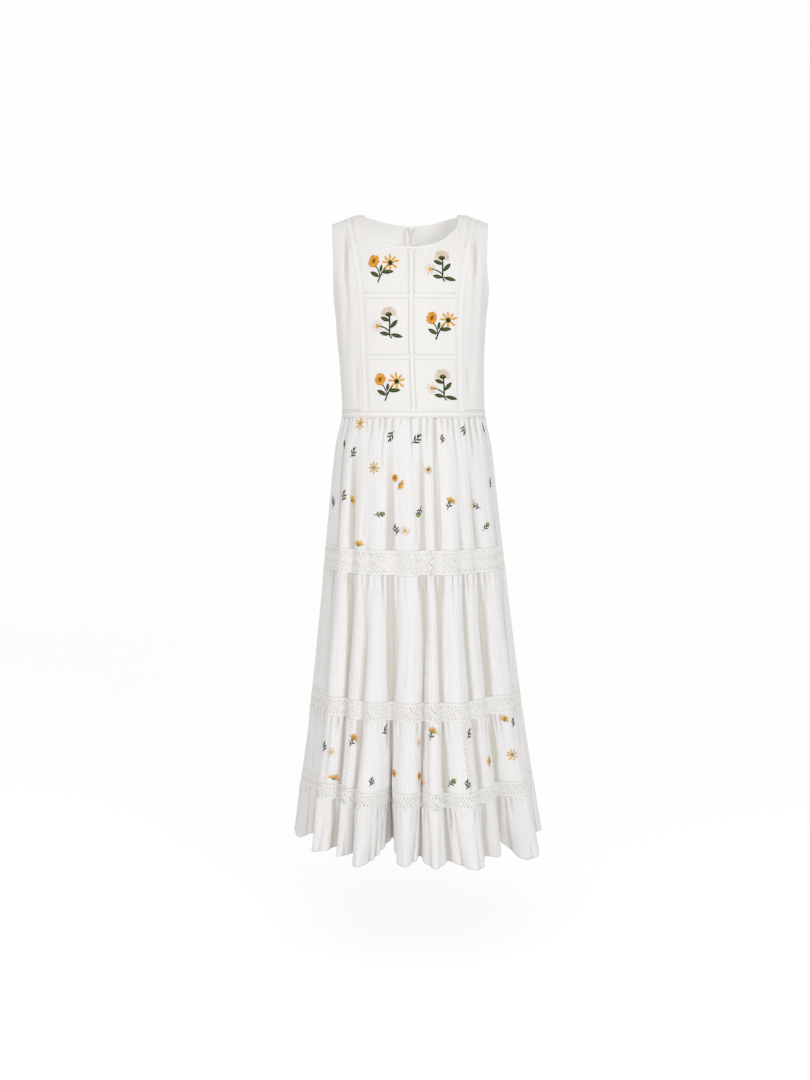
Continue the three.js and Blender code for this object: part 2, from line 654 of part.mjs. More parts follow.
// The plate with its bridge, which the tab's bar passes under.
async function addSlider(place) {
  const { plate, bridge, foot, rise, sunk } = SLIDER;
  const reach = SLIDER.length / 2 - SLIDER.endGap;
  const footAt = reach - foot / 2;
  const footHeight = plate + rise - 2 * sunk;
  const parts = [
    sliderPlate(),
    block(bridge, foot, footHeight, -footAt, sunk),
    block(bridge, foot, footHeight, footAt, sunk),
    block(bridge, 2 * reach, foot, 0, plate + rise - foot + sunk),
  ];
  const slider = add('zip_slider', await joined(parts), COLOURS.zip, { roughness: 0.4 });
  place.add(slider);
}

// The pull tab: its bar lies under the bridge and its arms pass on either side of it.
function addTab(place) {
  const { wall, width, length, tail, eye, eyeEnd, bar } = TAB;
  const half = width / 2;
  const shoulder = eyeEnd + bar; // where its sides start to draw in
  const shape = new THREE.Shape();
  shape.moveTo(-half, -bar / 2);
  shape.lineTo(half, -bar / 2);
  shape.lineTo(half, shoulder);
  shape.lineTo(tail, length - tail);
  shape.absarc(0, length - tail, tail, 0, Math.PI, false);
  shape.lineTo(-half, shoulder);
  shape.closePath();
  const hole = new THREE.Path();
  hole.moveTo(-eye / 2, bar / 2);
  hole.lineTo(-eye / 2, eyeEnd);
  hole.lineTo(eye / 2, eyeEnd);
  hole.lineTo(eye / 2, bar / 2);
  hole.closePath();
  shape.holes.push(hole);
  const geometry = new THREE.ExtrudeGeometry(shape, { depth: wall, bevelEnabled: false, curveSegments: 8 });
  geometry.translate(0, 0, SLIDER.plate + TAB.clear);
  const tab = add('zip_pull_tab', geometry, COLOURS.zip, { roughness: 0.4 });
  place.add(tab);
}

// ---------------------------------------------------------------- assembly

addCentreTrim();
HANDS.forEach((hand) => {
  addSquares(hand);
  addEdgeTrim(hand);
  addSideFront(hand);
  addBack(hand);
});
addNeckBinding();
const waistTrim = {
  name: 'waist_trim', ...WAIST, wall: PIPING, rows: 1, centreBackSeam: true, between: [0.5],
};
addRound(waistTrim, COLOURS.trim);
BANDS.forEach((band) => addRound(band, band.wall === LACE ? COLOURS.lace : COLOURS.cotton));
addZipTapes();
const zipPlace = onZip();
dress.add(zipPlace);
await addSlider(zipPlace);
addTab(zipPlace);

export default dress;
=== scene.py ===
"""Sleeveless midi dress in white striped cotton, hanging filled out as from a wearer's shoulders.

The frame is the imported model's: +Z is up, the front faces -Y, the wearer's left is +X, and the origin
is midway between the high shoulder points. Forms are worked out in millimetres, as in the part's
construction, and made into meshes in metres.
"""

import logging
import math
from collections.abc import Callable, Sequence
from dataclasses import dataclass, field, replace
from enum import Enum
from typing import Protocol

import bpy
import numpy as np
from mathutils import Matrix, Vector


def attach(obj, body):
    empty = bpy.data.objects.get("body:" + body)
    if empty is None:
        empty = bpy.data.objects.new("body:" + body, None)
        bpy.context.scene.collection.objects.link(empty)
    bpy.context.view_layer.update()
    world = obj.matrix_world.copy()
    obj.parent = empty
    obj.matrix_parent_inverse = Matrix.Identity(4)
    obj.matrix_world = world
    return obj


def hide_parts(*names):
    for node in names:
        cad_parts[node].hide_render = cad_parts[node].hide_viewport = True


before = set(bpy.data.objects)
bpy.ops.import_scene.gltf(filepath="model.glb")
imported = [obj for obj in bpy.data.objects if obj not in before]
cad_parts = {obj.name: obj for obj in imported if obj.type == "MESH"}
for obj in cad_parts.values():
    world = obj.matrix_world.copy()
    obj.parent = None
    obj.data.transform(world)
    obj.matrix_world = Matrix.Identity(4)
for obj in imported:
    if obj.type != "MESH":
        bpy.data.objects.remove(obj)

Array = np.ndarray
Edge = Callable[[Array], Array]
TrimLine = Callable[[Array, float], Array]
Colour = tuple[float, float, float]

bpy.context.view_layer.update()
BODY = "dress"
MM = 0.001
GAP = 0.3  # between pieces at a seam
HALF_GAP = GAP / 2
SHARP_ANGLE = 75  # degrees, past which an edge shows as a corner
SQUARE_CORNER = math.sqrt(2)  # a four-sided thread's half diagonal over its half width
log = logging.getLogger("dress")


# ---------------------------------------------------------------- tables and curves


@dataclass(frozen=True)
class Stations:
    """Rows of named columns at heights from high to low, read as curves down the dress."""

    columns: tuple[str, ...]
    rows: tuple[tuple[float, ...], ...]

    def column(self, name: str) -> Array:
        """One column, from the highest row to the lowest."""
        return np.array([row[self.columns.index(name)] for row in self.rows], float)

    def smooth(self, name: str, z: Array) -> Array:
        """A column as a smooth curve.

        Args:
            name: The column.
            z: Heights to read it at.

        Returns:
            The column's value at each height.
        """
        heights, values = self.column("z"), self.column(name)
        z = np.asarray(z, float)
        i = np.clip(np.searchsorted(-heights, -z) - 1, 0, len(heights) - 2)
        before, after = np.maximum(i - 1, 0), np.minimum(i + 2, len(heights) - 1)
        span = heights[i + 1] - heights[i]
        u = np.clip((z - heights[i]) / span, 0, 1)
        leave = (values[i + 1] - values[before]) / (heights[i + 1] - heights[before])
        arrive = (values[after] - values[i]) / (heights[after] - heights[i])
        bend = leave * span * u * (1 - u) ** 2 - arrive * span * u**2 * (1 - u)
        return values[i] + (values[i + 1] - values[i]) * u * u * (3 - 2 * u) + bend

    def straight(self, name: str, z: Array) -> Array:
        """A column joined by straight lines, at the heights z."""
        return np.interp(-np.asarray(z, float), -self.column("z"), self.column(name))


def signed_power(value: Array, power: Array) -> Array:
    """A power that keeps its base's sign."""
    return np.sign(value) * np.abs(value) ** power


def ease(part: Array) -> Array:
    """From 0 to 1 with no slope at either end."""
    return (1 - np.cos(np.pi * part)) / 2


# The dress in horizontal sections: height, half width, reach to the front and to the back,
# squareness of the oval, and how far its middle lies to the wearer's left.
SECTIONS = Stations(
    ("z", "side", "front", "back", "square", "shift"),
    (
        (10, 188, 91, 92, 2.3, 0),
        (-25, 186, 94, 94, 2.3, 0),
        (-76, 181, 102, 98, 2.3, 0),
        (-139, 172, 111, 101, 2.3, 0),
        (-193, 158.6, 114, 101, 2.3, 0),
        (-256, 153.5, 112, 99, 2.3, 0),
        (-330, 149, 108, 98, 2.25, 2),
        (-409, 148, 106, 100, 2.2, 5),
        (-433, 150, 108, 103, 2.2, 4.5),
        (-483, 161, 118, 113, 2.15, 4),
        (-584, 172, 135, 131, 2.1, 5),
        (-688, 182, 150, 147, 2.1, 6),
        (-811, 194, 168, 166, 2.05, 8),
        (-990, 212, 193, 192, 2, 10),
        (-1100, 224, 208, 207, 2, 12),
        (-1190, 234, 218, 217, 2, 13),
        (-1300, 247, 229, 228, 2, 15),
    ),
)
ARMHOLE_EDGE = Stations(("z", "x"), ((-21, 165), (-76, 162), (-139, 159.5), (-193, 158.6)))
FRONT_SEAM = Stations(
    ("z", "x"), ((0, 139), (-60, 126), (-120, 115), (-180, 108), (-250, 104.5), (-409, 103.5))
)
ARMHOLE_BOTTOM = -193
WAIST_TOP = -409
WAIST_BOTTOM = -421
LOWEST_BODICE = WAIST_TOP + HALF_GAP

# The folds that run down the skirt, ridge and valley in turn, from the wearer's right side seam round
# the front to the left one and on round the back. high, half, low: the fold's place at the waist, at
# tier 2 and at the hem, in degrees from the front's middle. tier1 to hem: how far out the cloth stands.
FOLD_COLUMNS = ("high", "half", "low", "tier1", "tier2", "tier3", "hem")
FOLDS = (
    (-90, -90, -90, 2, 5, 9, 18),
    (-64, -60.5, -62.5, -4, -10, -14, -27),
    (-55, -51, -53, 4, 12, 16, 24),
    (-46, -42, -44, -3, -8, -9, -14),
    (-36, -35, -38.5, 3, 8, 10, 16),
    (-30, -29, -33, 1, 5, 3, -8),
    (-24, -24, -26, 4, 10, 19, 42),
    (-15.5, -14.5, -15.5, -4, -11, -24, -60),
    (-4, -2, -6.5, 4, 9, 13, 26),
    (4.5, 5.5, 0.5, -4, -12, -12, -12),
    (10, 10, 7, 2, 2, 14, 34),
    (14, 13.5, 13, -2.5, -7, -4, 4),
    (24, 22, 23.5, 5, 12, 22, 50),
    (31, 31, 32.5, 0, -3, 2, 4),
    (35.5, 36, 38, 1, 0, 5, 14),
    (44, 45, 49, -3, -8, -14, -30),
    (60, 60, 61, 3, 8, 15, 36),
    (75, 75, 78, -3, -6, -9, -22),
    (90, 90, 90, 3, 6, 10, 19),
    (100, 101, 102, -3, -8, -12, -28),
    (112, 113, 113, 3, 8, 14, 28),
    (122, 122, 123, -2, -6, -10, -14),
    (131, 130, 131, 3, 7, 12, 22),
    (140, 141, 142, -3, -10, -16, -42),
    (152, 153, 154, 4, 10, 17, 36),
    (164, 163, 165, -3, -8, -10, -20),
    (171, 172, 172, 0, 3, 7, 18),
    (180, 180, 180, -1, -5, -12, -34),
    (190, 190, 189, 2, 8, 14, 30),
    (200, 201, 201, -3, -9, -12, -24),
    (211, 211, 212, 4, 9, 16, 32),
    (223, 224, 224, -3, -9, -15, -36),
    (233, 233, 234, 2, 6, 9, 16),
    (240, 240, 241, 0, -3, -3, -6),
    (248, 248, 248, 3, 8, 13, 26),
    (259, 260, 260, -3, -8, -12, -26),
    (270, 270, 270, 2, 5, 9, 18),
)
FOLD_PLACES = ((-421, "high"), (-860, "half"), (-1300, "low"))
FOLD_DEPTHS = ((-600, "tier1"), (-863, "tier2"), (-1096, "tier3"), (-1300, "hem"))
# How far the flanks of deep folds lean over their valleys, as a share of the valley's half width.
FOLD_LEAN = Stations(("z", "share"), ((-421, 0), (-688, 0.12), (-990, 0.26), (-1166, 0.26), (-1300, 0)))
HEM_DIPS = ((234, 38, 24), (-238, 16, 10))  # x, reach and drop of what hangs lower on the front
HEM_DIP_FADES = 40  # mm from the side seam
HEM_RISE = 0.45  # the hem rises in a valley, by this share of the valley's depth
HEM_DROP = 0.2  # and hangs lower on a ridge
# Widths across the cloth at which hollows are looked for, the depth that counts as full, and its share.
HOLLOW_SCALES = ((3.5, 0.45, 0.4), (9, 1.6, 0.5), (27, 9, 0.65))
HOLLOW_START = 0.08  # what is shallower doesn't show
SEAM_SHARE = 0.14  # of a tier's height, in which its pleats close up to the seam below
LEFT_SEAM = 18  # the fold's row at the wearer's left side seam
CENTRE_BACK = 27
RIGHT_SEAM = 36

HELD_BY = {  # the piece that each sheet of cloth is sewn to and hangs from
    "centre_trim": "neck_binding_front",
    "neck_binding_front": "front_square_1_left",
    "waist_trim_front": "front_square_3_left",
    "tier_1_front": "waist_trim_front",
    "lace_1_front": "tier_1_front",
    "lace_1_back": "tier_1_back_left",
}
for side in ("left", "right"):
    HELD_BY |= {
        f"front_square_1_{side}": "neck_binding_front",
        f"front_square_2_{side}": f"cross_trim_1_{side}",
        f"front_square_3_{side}": f"cross_trim_2_{side}",
        f"cross_trim_1_{side}": f"front_square_1_{side}",
        f"cross_trim_2_{side}": f"front_square_2_{side}",
        f"edge_trim_{side}": f"side_front_{side}",
        f"side_front_{side}": f"edge_trim_{side}",
        f"back_{side}": f"neck_binding_back_{side}",
        f"neck_binding_back_{side}": f"back_{side}",
        f"waist_trim_back_{side}": f"back_{side}",
        f"tier_1_back_{side}": f"waist_trim_back_{side}",
    }
for face in ("front", "back"):
    BELOW = ("lace_1", "tier_2", "lace_2", "tier_3", "lace_3", "ruffle")
    HELD_BY |= {f"{lower}_{face}": f"{upper}_{face}" for upper, lower in zip(BELOW, BELOW[1:])}


# ---------------------------------------------------------------- what lies on a surface


class Ground(Protocol):
    """A surface that threads and stitches are laid on."""

    def lay(self, across: Array, up: Array, lift: Array) -> Array:
        """Places of points given across and up the surface and out of it, all in millimetres."""


@dataclass
class Sheet:
    """A grid of cloth points in millimetres, with each point's place in the flat cut.

    Columns run across and rows run down, so that down times across faces out of the dress.
    """

    points: Array
    across: Array
    down: Array

    def normals(self) -> Array:
        """The way that the cloth faces at each point."""
        along = np.gradient(self.points, axis=1)
        below = np.gradient(self.points, axis=0)
        out = np.cross(below, along)
        return out / np.maximum(np.linalg.norm(out, axis=2, keepdims=True), 1e-9)

    def hollows(self) -> Array:
        """How deep each point lies in a crease or a valley, from 0 to 1, which the cloth's finish turns into
        painted shade.
        """
        out, count = self.normals(), self.points.shape[1]
        step = float(self.across[0, -1] - self.across[0, 0]) / (count - 1)
        number = np.arange(count)
        total = np.zeros(self.across.shape)
        for reach, deep, share in HOLLOW_SCALES:
            away = max(1, round(reach / abs(step)))
            before, after = np.maximum(number - away, 0), np.minimum(number + away, count - 1)
            chord = (self.points[:, before] + self.points[:, after]) / 2 - self.points
            edge = np.minimum(1, np.minimum(number, count - 1 - number) / away)
            total += share * np.clip((chord * out).sum(axis=2) * edge / deep, -0.6, 1)
        return np.clip((total - HOLLOW_START) / (1 - HOLLOW_START), 0, 1)

    def raised(self, height: Array) -> "Sheet":
        """The sheet with each point moved out by a height."""
        return Sheet(self.points + self.normals() * height[..., None], self.across, self.down)

    def lay(self, across: Array, up: Array, lift: Array) -> Array:
        """Places of points on the sheet. up is 0 at its top edge and falls below 0 down the cloth."""
        rows, columns = self.across.shape
        j = np.interp(across, self.across[0], np.arange(columns))
        i = np.interp(-np.asarray(up), self.down[:, 0], np.arange(rows))
        i0, j0 = np.minimum(i.astype(int), rows - 2), np.minimum(j.astype(int), columns - 2)
        down, along = (i - i0)[:, None], (j - j0)[:, None]

        def between(grid: Array) -> Array:
            upper = grid[i0, j0] * (1 - along) + grid[i0, j0 + 1] * along
            lower = grid[i0 + 1, j0] * (1 - along) + grid[i0 + 1, j0 + 1] * along
            return upper * (1 - down) + lower * down

        out = between(self.normals())
        out /= np.linalg.norm(out, axis=1, keepdims=True)
        return between(self.points) + out * np.asarray(lift)[:, None]

    def find(self, x: float, z: float) -> tuple[float, float]:
        """The place across and up the sheet of its outermost point near an x and a z."""
        away = np.hypot(self.points[..., 0] - x, self.points[..., 2] - z)
        away = away - 0.02 * np.abs(self.points[..., 1])
        i, j = np.unravel_index(np.argmin(away), away.shape)
        return float(self.across[i, j]), -float(self.down[i, j])


@dataclass(frozen=True)
class Creases:
    """Soft ridges and troughs that leave a seam and die out down the cloth, in millimetres."""

    at: Array
    length: Array
    depth: Array
    width: Array
    lean: Array
    seam_share: float = 0.3  # what is left of a crease at the seam itself
    seam_reach: float = 7

    @classmethod
    def gathered(
        cls,
        seed: int,
        width: float,
        pitch: tuple[float, float],
        length: tuple[float, float],
        depth: tuple[float, float],
    ) -> "Creases":
        """The uneven creases of a gathered seam, ridge and trough in turn.

        Args:
            seed: Of the random sizes.
            width: Of the cloth along the seam.
            pitch: Least and most distance from one crease to the next.
            length: Least and most reach down the cloth.
            depth: Least and most height.

        Returns:
            Creases from one end of the seam to the other.
        """
        draw = np.random.default_rng(seed)
        steps = draw.uniform(*pitch, int(width / pitch[0]))
        at = np.cumsum(steps)
        at = at[at < width]
        steps = steps[: len(at)]
        sign = np.where(np.arange(len(at)) % 2, -1, 1)
        share = draw.beta(1.3, 2.2, len(at))
        return cls(
            at=at,
            length=length[0] + (length[1] - length[0]) * share,
            depth=sign * draw.uniform(*depth, len(at)),
            width=steps * draw.uniform(0.36, 0.5, len(at)),
            lean=draw.normal(0, 0.035, len(at)),
        )

    def height(self, across: Array, down: Array) -> Array:
        """How far out the creases carry the cloth at places across and down it."""
        total = np.zeros(np.broadcast(across, down).shape)
        start = self.seam_share + (1 - self.seam_share) * np.clip(down / self.seam_reach, 0, 1)
        for at, length, depth, width, lean in zip(self.at, self.length, self.depth, self.width, self.lean):
            part = np.clip(down / length, 0, 1)
            off = (across - at - lean * down) / (width * (1 + 0.9 * part))
            total += depth * np.exp(-(off**2)) * start * (1 - part) ** 1.4
        return total


def flared(seed: int, sheet: Sheet, pitch: tuple[float, float], depth: float, hem: bool) -> Array:
    """Heights of soft pleats that deepen down a sheet, with sharp valleys, and close up at a seam."""
    draw = np.random.default_rng(seed)
    width, length = float(sheet.across[0, -1]), float(sheet.down[-1, 0])
    knots = np.concatenate([[-pitch[1]], np.cumsum(draw.uniform(*pitch, int(width / pitch[0]) + 4)) - pitch[1]])
    tall = draw.uniform(0.25, 1, len(knots))
    lean = draw.normal(0, 0.05, len(knots))
    down = sheet.down / length
    across = sheet.across - np.interp(sheet.across, knots, lean) * sheet.down
    line = np.clip(np.searchsorted(knots, across) - 1, 0, len(knots) - 2)
    share = (across - knots[line]) / (knots[line + 1] - knots[line])
    ridge = np.abs(np.sin(np.pi * np.clip(share, 0, 1))) ** 0.8
    edge = np.minimum(1, np.minimum(sheet.across, width - sheet.across) / pitch[0])
    seam = 1 if hem else np.clip((1 - down) / SEAM_SHARE, 0, 1)
    return depth * tall[line] * (ridge - 0.5) * down**1.3 * edge * seam


# ---------------------------------------------------------------- the bodice's form


class Face(Enum):
    """Front or back of the dress, with the sign of its y."""

    FRONT = -1
    BACK = 1


@dataclass(frozen=True)
class Drape:
    """A soft fold in the bodice: a ridge, or a trough if its depth is below 0."""

    face: Face
    x: float
    top: float
    bottom: float
    width: float
    depth: float
    lean: float = 0  # how far it drifts across on its way down


DRAPES = (
    Drape(Face.FRONT, 118, -20, -260, 7, 2.2, 8),
    Drape(Face.FRONT, 131, -25, -330, 6, -2.0, -6),
    Drape(Face.FRONT, 143, -60, -400, 8, 2.4, -8),
    Drape(Face.FRONT, 152, -120, -300, 6, -1.8, -7),
    Drape(Face.FRONT, 127, -240, -409, 7, 1.8, 3),
    Drape(Face.FRONT, 114, -290, -409, 5, -1.4, 2),
    Drape(Face.FRONT, -121, -20, -240, 7, 2.0, -4),
    Drape(Face.FRONT, -133, -30, -300, 6, -2.2, 5),
    Drape(Face.FRONT, -146, -80, -409, 8, 2.6, 10),
    Drape(Face.FRONT, -153, -150, -330, 6, -1.6, 8),
    Drape(Face.FRONT, -124, -200, -400, 8, 2.0, -2),
    Drape(Face.FRONT, -113, -300, -409, 5, -1.3, -2),
    Drape(Face.BACK, 30, -60, -300, 9, 1.6, 6),
    Drape(Face.BACK, 58, -30, -409, 12, -2.2, -8),
    Drape(Face.BACK, 85, -40, -380, 10, 2.2, -6),
    Drape(Face.BACK, 118, -60, -409, 10, -2.4, -8),
    Drape(Face.BACK, 142, -120, -360, 8, 2.2, -8),
    Drape(Face.BACK, -26, -120, -380, 9, 1.8, -5),
    Drape(Face.BACK, -52, -40, -340, 11, -2.0, 6),
    Drape(Face.BACK, -80, -30, -409, 11, 2.4, 4),
    Drape(Face.BACK, -110, -80, -380, 9, -2.0, 6),
    Drape(Face.BACK, -140, -110, -409, 9, 2.4, 10),
    Drape(Face.BACK, 16, -250, -409, 6, -1.2, 4),
    Drape(Face.BACK, -14, -270, -409, 6, -1.2, -4),
)


@dataclass(frozen=True)
class BodiceForm:
    """The bodice's cloth as a surface: a point for each x and z on the front or the back."""

    neck_half: float = 97
    neck_front: float = 78
    neck_back: float = 23
    neck_round: float = 2.3
    back_round: float = 1.6  # the back neck leaves the shoulder at a gentle slope
    shoulder_tip: float = 165
    shoulder_drop: float = 26.5
    corner_drop: float = 6  # by which the shoulder's corner at the neck is rounded off
    corner_reach: float = 11
    chest_roll: float = 193  # height over which the front turns over the shoulder
    back_roll: float = 120
    cut_height: float = -250  # where the cut's width is read
    side_share: float = 0.05  # of the oval's level, where the cloth already faces sideways

    @property
    def shoulder_slope(self) -> float:
        """How steeply the shoulder falls."""
        return self.shoulder_drop / (self.shoulder_tip - self.neck_half)

    def shoulder_top(self, x: Array) -> Array:
        """Height of the shoulder line."""
        past = np.maximum(0, np.abs(x) - self.neck_half)
        rounded = self.corner_drop * np.exp(-(((np.abs(x) - self.neck_half) / self.corner_reach) ** 2))
        return -self.shoulder_slope * past - rounded

    def turned(self, face: Face, x: Array, z: Array) -> Array:
        """0 at the shoulder's top, 1 where the cloth has turned down."""
        roll = self.chest_roll if face is Face.FRONT else self.back_roll
        return np.clip((self.shoulder_top(x) - z) / roll, 0, 1)

    def angle_of(self, x: Array, z: Array) -> Array:
        """A place on a section as an angle from its middle."""
        side, square = SECTIONS.smooth("side", z), SECTIONS.smooth("square", z)
        return np.arcsin(np.clip(signed_power(x / side, square / 2), -1, 1))

    def width_at(self, angle: Array, z: Array) -> Array:
        """The x of an angle on a section."""
        side, square = SECTIONS.smooth("side", z), SECTIONS.smooth("square", z)
        return side * signed_power(np.sin(angle), 2 / square)

    def level(self, face: Face, x: Array, y: Array, z: Array, near_seam: Array) -> Array:
        """A level that is 1 on the cloth and rises outwards."""
        side, square = SECTIONS.smooth("side", z), SECTIONS.smooth("square", z)
        depth = SECTIONS.smooth("front" if face is Face.FRONT else "back", z)
        across = (np.abs(x) / side) ** square
        out = np.abs(y) / depth
        left = 1 - self.turned(face, x, z)
        wide = across + (out / np.sqrt(np.maximum(1 - left**2, 1e-6))) ** square
        rolled = left**2 + (out / np.maximum(1 - across, 1e-6) ** (1 / square)) ** 2
        return np.where(near_seam | (left <= 0), wide, rolled)

    def lay(self, face: Face, x: Array, z: Array, lift: Array) -> Array:
        """Points on the cloth, with its drape, moved out by lift."""
        x, z, lift = np.broadcast_arrays(np.asarray(x, float), np.asarray(z, float), lift)
        side, square = SECTIONS.smooth("side", z), SECTIONS.smooth("square", z)
        depth = SECTIONS.smooth("front" if face is Face.FRONT else "back", z)
        inside = np.clip(1 - (np.abs(x) / side) ** square, 0, 1)
        roll = np.sqrt(1 - (1 - self.turned(face, x, z)) ** 2)
        y = face.value * np.maximum(HALF_GAP, depth * inside ** (1 / square) * roll)
        step, near_seam = 0.02, inside < self.side_share
        slope = [
            self.level(face, x + dx, y + dy, z + dz, near_seam)
            - self.level(face, x - dx, y - dy, z - dz, near_seam)
            for dx, dy, dz in ((step, 0, 0), (0, step, 0), (0, 0, step))
        ]
        out = np.stack(slope, axis=-1)
        out /= np.maximum(np.linalg.norm(out, axis=-1, keepdims=True), 1e-12)
        places = np.stack([x + SECTIONS.smooth("shift", z), y, z], axis=-1)
        return places + out * (lift + self.drape(face, x, z))[..., None]

    def drape(self, face: Face, x: Array, z: Array) -> Array:
        """How far out the soft folds carry the cloth."""
        total = np.zeros(np.shape(x))
        for fold in DRAPES:
            if fold.face is not face:
                continue
            part = np.clip((fold.top - z) / (fold.top - fold.bottom), 0, 1)
            off = (x - fold.x - fold.lean * part) / fold.width
            total += fold.depth * np.exp(-(off**2)) * np.sin(np.pi * part) ** 0.8
        return total

    def cut_across(self, face: Face, x: Array, z: Array) -> Array:
        """Distance across the flat cut from the dress's middle, so that the stripes stay upright."""
        reach = np.linspace(0, 1, 400)
        width = float(SECTIONS.smooth("side", self.cut_height))
        depth = float(SECTIONS.smooth("front", self.cut_height))
        square = float(SECTIONS.smooth("square", self.cut_height))
        curve = np.stack([reach * width, depth * (1 - reach**square) ** (1 / square)])
        arc = np.concatenate([[0], np.cumsum(np.hypot(*np.diff(curve)))])
        share = np.abs(x) / SECTIONS.smooth("side", z)
        return np.sign(x) * np.interp(share, reach, arc)

    def roundness(self, face: Face) -> float:
        """How square the neck's edge is: 2 for an oval."""
        return self.neck_round if face is Face.FRONT else self.back_round

    def neck(self, face: Face, turn: Array, grown: float) -> tuple[Array, Array]:
        """The neck's edge, grown by a distance, at turns from 0 at the middle to 90 on the shoulder."""
        fall = self.neck_front if face is Face.FRONT else self.neck_back
        ratio = 1 if face is Face.FRONT else 0.7
        power = 2 / self.roundness(face)
        x = (self.neck_half + grown) * signed_power(np.sin(np.radians(turn)), power)
        rise = np.maximum(0, np.cos(np.radians(turn))) ** power
        return x, self.shoulder_top(x) - (fall + grown * ratio) * rise

    def neck_turn(self, face: Face, x: float, grown: float) -> float:
        """The turn at which the neck's edge is this far from the middle."""
        return math.degrees(math.asin((x / (self.neck_half + grown)) ** (self.roundness(face) / 2)))

    def panel(
        self, face: Face, hand: int, tops: Array, inner: Edge, outer: Edge, bottom: float, rows: int, crowd: float
    ) -> Sheet:
        """A piece of the bodice.

        Args:
            face: Front or back.
            hand: 1 on the wearer's left, -1 on the right.
            tops: An x and a z for each column's top.
            inner: The x of the edge towards the middle at a height.
            outer: The x of the other edge.
            bottom: Height of the lower edge.
            rows: How many rows it has.
            crowd: Above 1, the rows close up towards the top.

        Returns:
            The piece as a sheet.
        """
        top_x, top_z = tops[:, 0], tops[:, 1]
        evenly = np.linspace(0, 1, len(tops))
        part = np.linspace(0, 1, rows + 1)[:, None] ** crowd
        z = top_z + (bottom - top_z) * part
        start, end = self.angle_of(inner(z), z), self.angle_of(outer(z), z)
        share = (self.angle_of(top_x, top_z) - start[0]) / (end[0] - start[0])
        x = hand * self.width_at(start + (end - start) * (share + (evenly - share) * part), z)
        if face.value * hand > 0:
            x, z = x[:, ::-1], z[:, ::-1]
        points = self.lay(face, x, z, 0.0)
        steps = np.linalg.norm(np.diff(points, axis=0), axis=2)
        down = np.vstack([np.zeros(len(tops)), np.cumsum(steps, axis=0)])
        return Sheet(points, self.cut_across(face, x, z), down - down[-1])


@dataclass(frozen=True)
class BodiceGround:
    """One face of the bodice as a ground. across is towards +X on the front and -X on the back."""

    form: BodiceForm
    face: Face

    def lay(self, across: Array, up: Array, lift: Array) -> Array:
        """Places of points on the cloth. up is the height itself."""
        return self.form.lay(self.face, -self.face.value * np.asarray(across), up, lift)


@dataclass(frozen=True)
class SeamGround:
    """A strip beside a seam of the front. across is measured from the strip's inner edge."""

    form: BodiceForm
    hand: int
    inner: Edge
    top: float  # the strip's upper end, which slants with the shoulder
    slanted: float = 40  # how far down the slant dies out

    def lay(self, across: Array, up: Array, lift: Array) -> Array:
        """Places of points on the strip, its outer edge on the wearer's left if hand is 1."""
        x = self.hand * self.inner(np.asarray(up)) + np.asarray(across)
        share = np.clip(1 - (self.top - up) / self.slanted, 0, 1)
        return self.form.lay(Face.FRONT, x, up - self.form.shoulder_slope * self.hand * across * share, lift)


# ---------------------------------------------------------------- the skirt's form


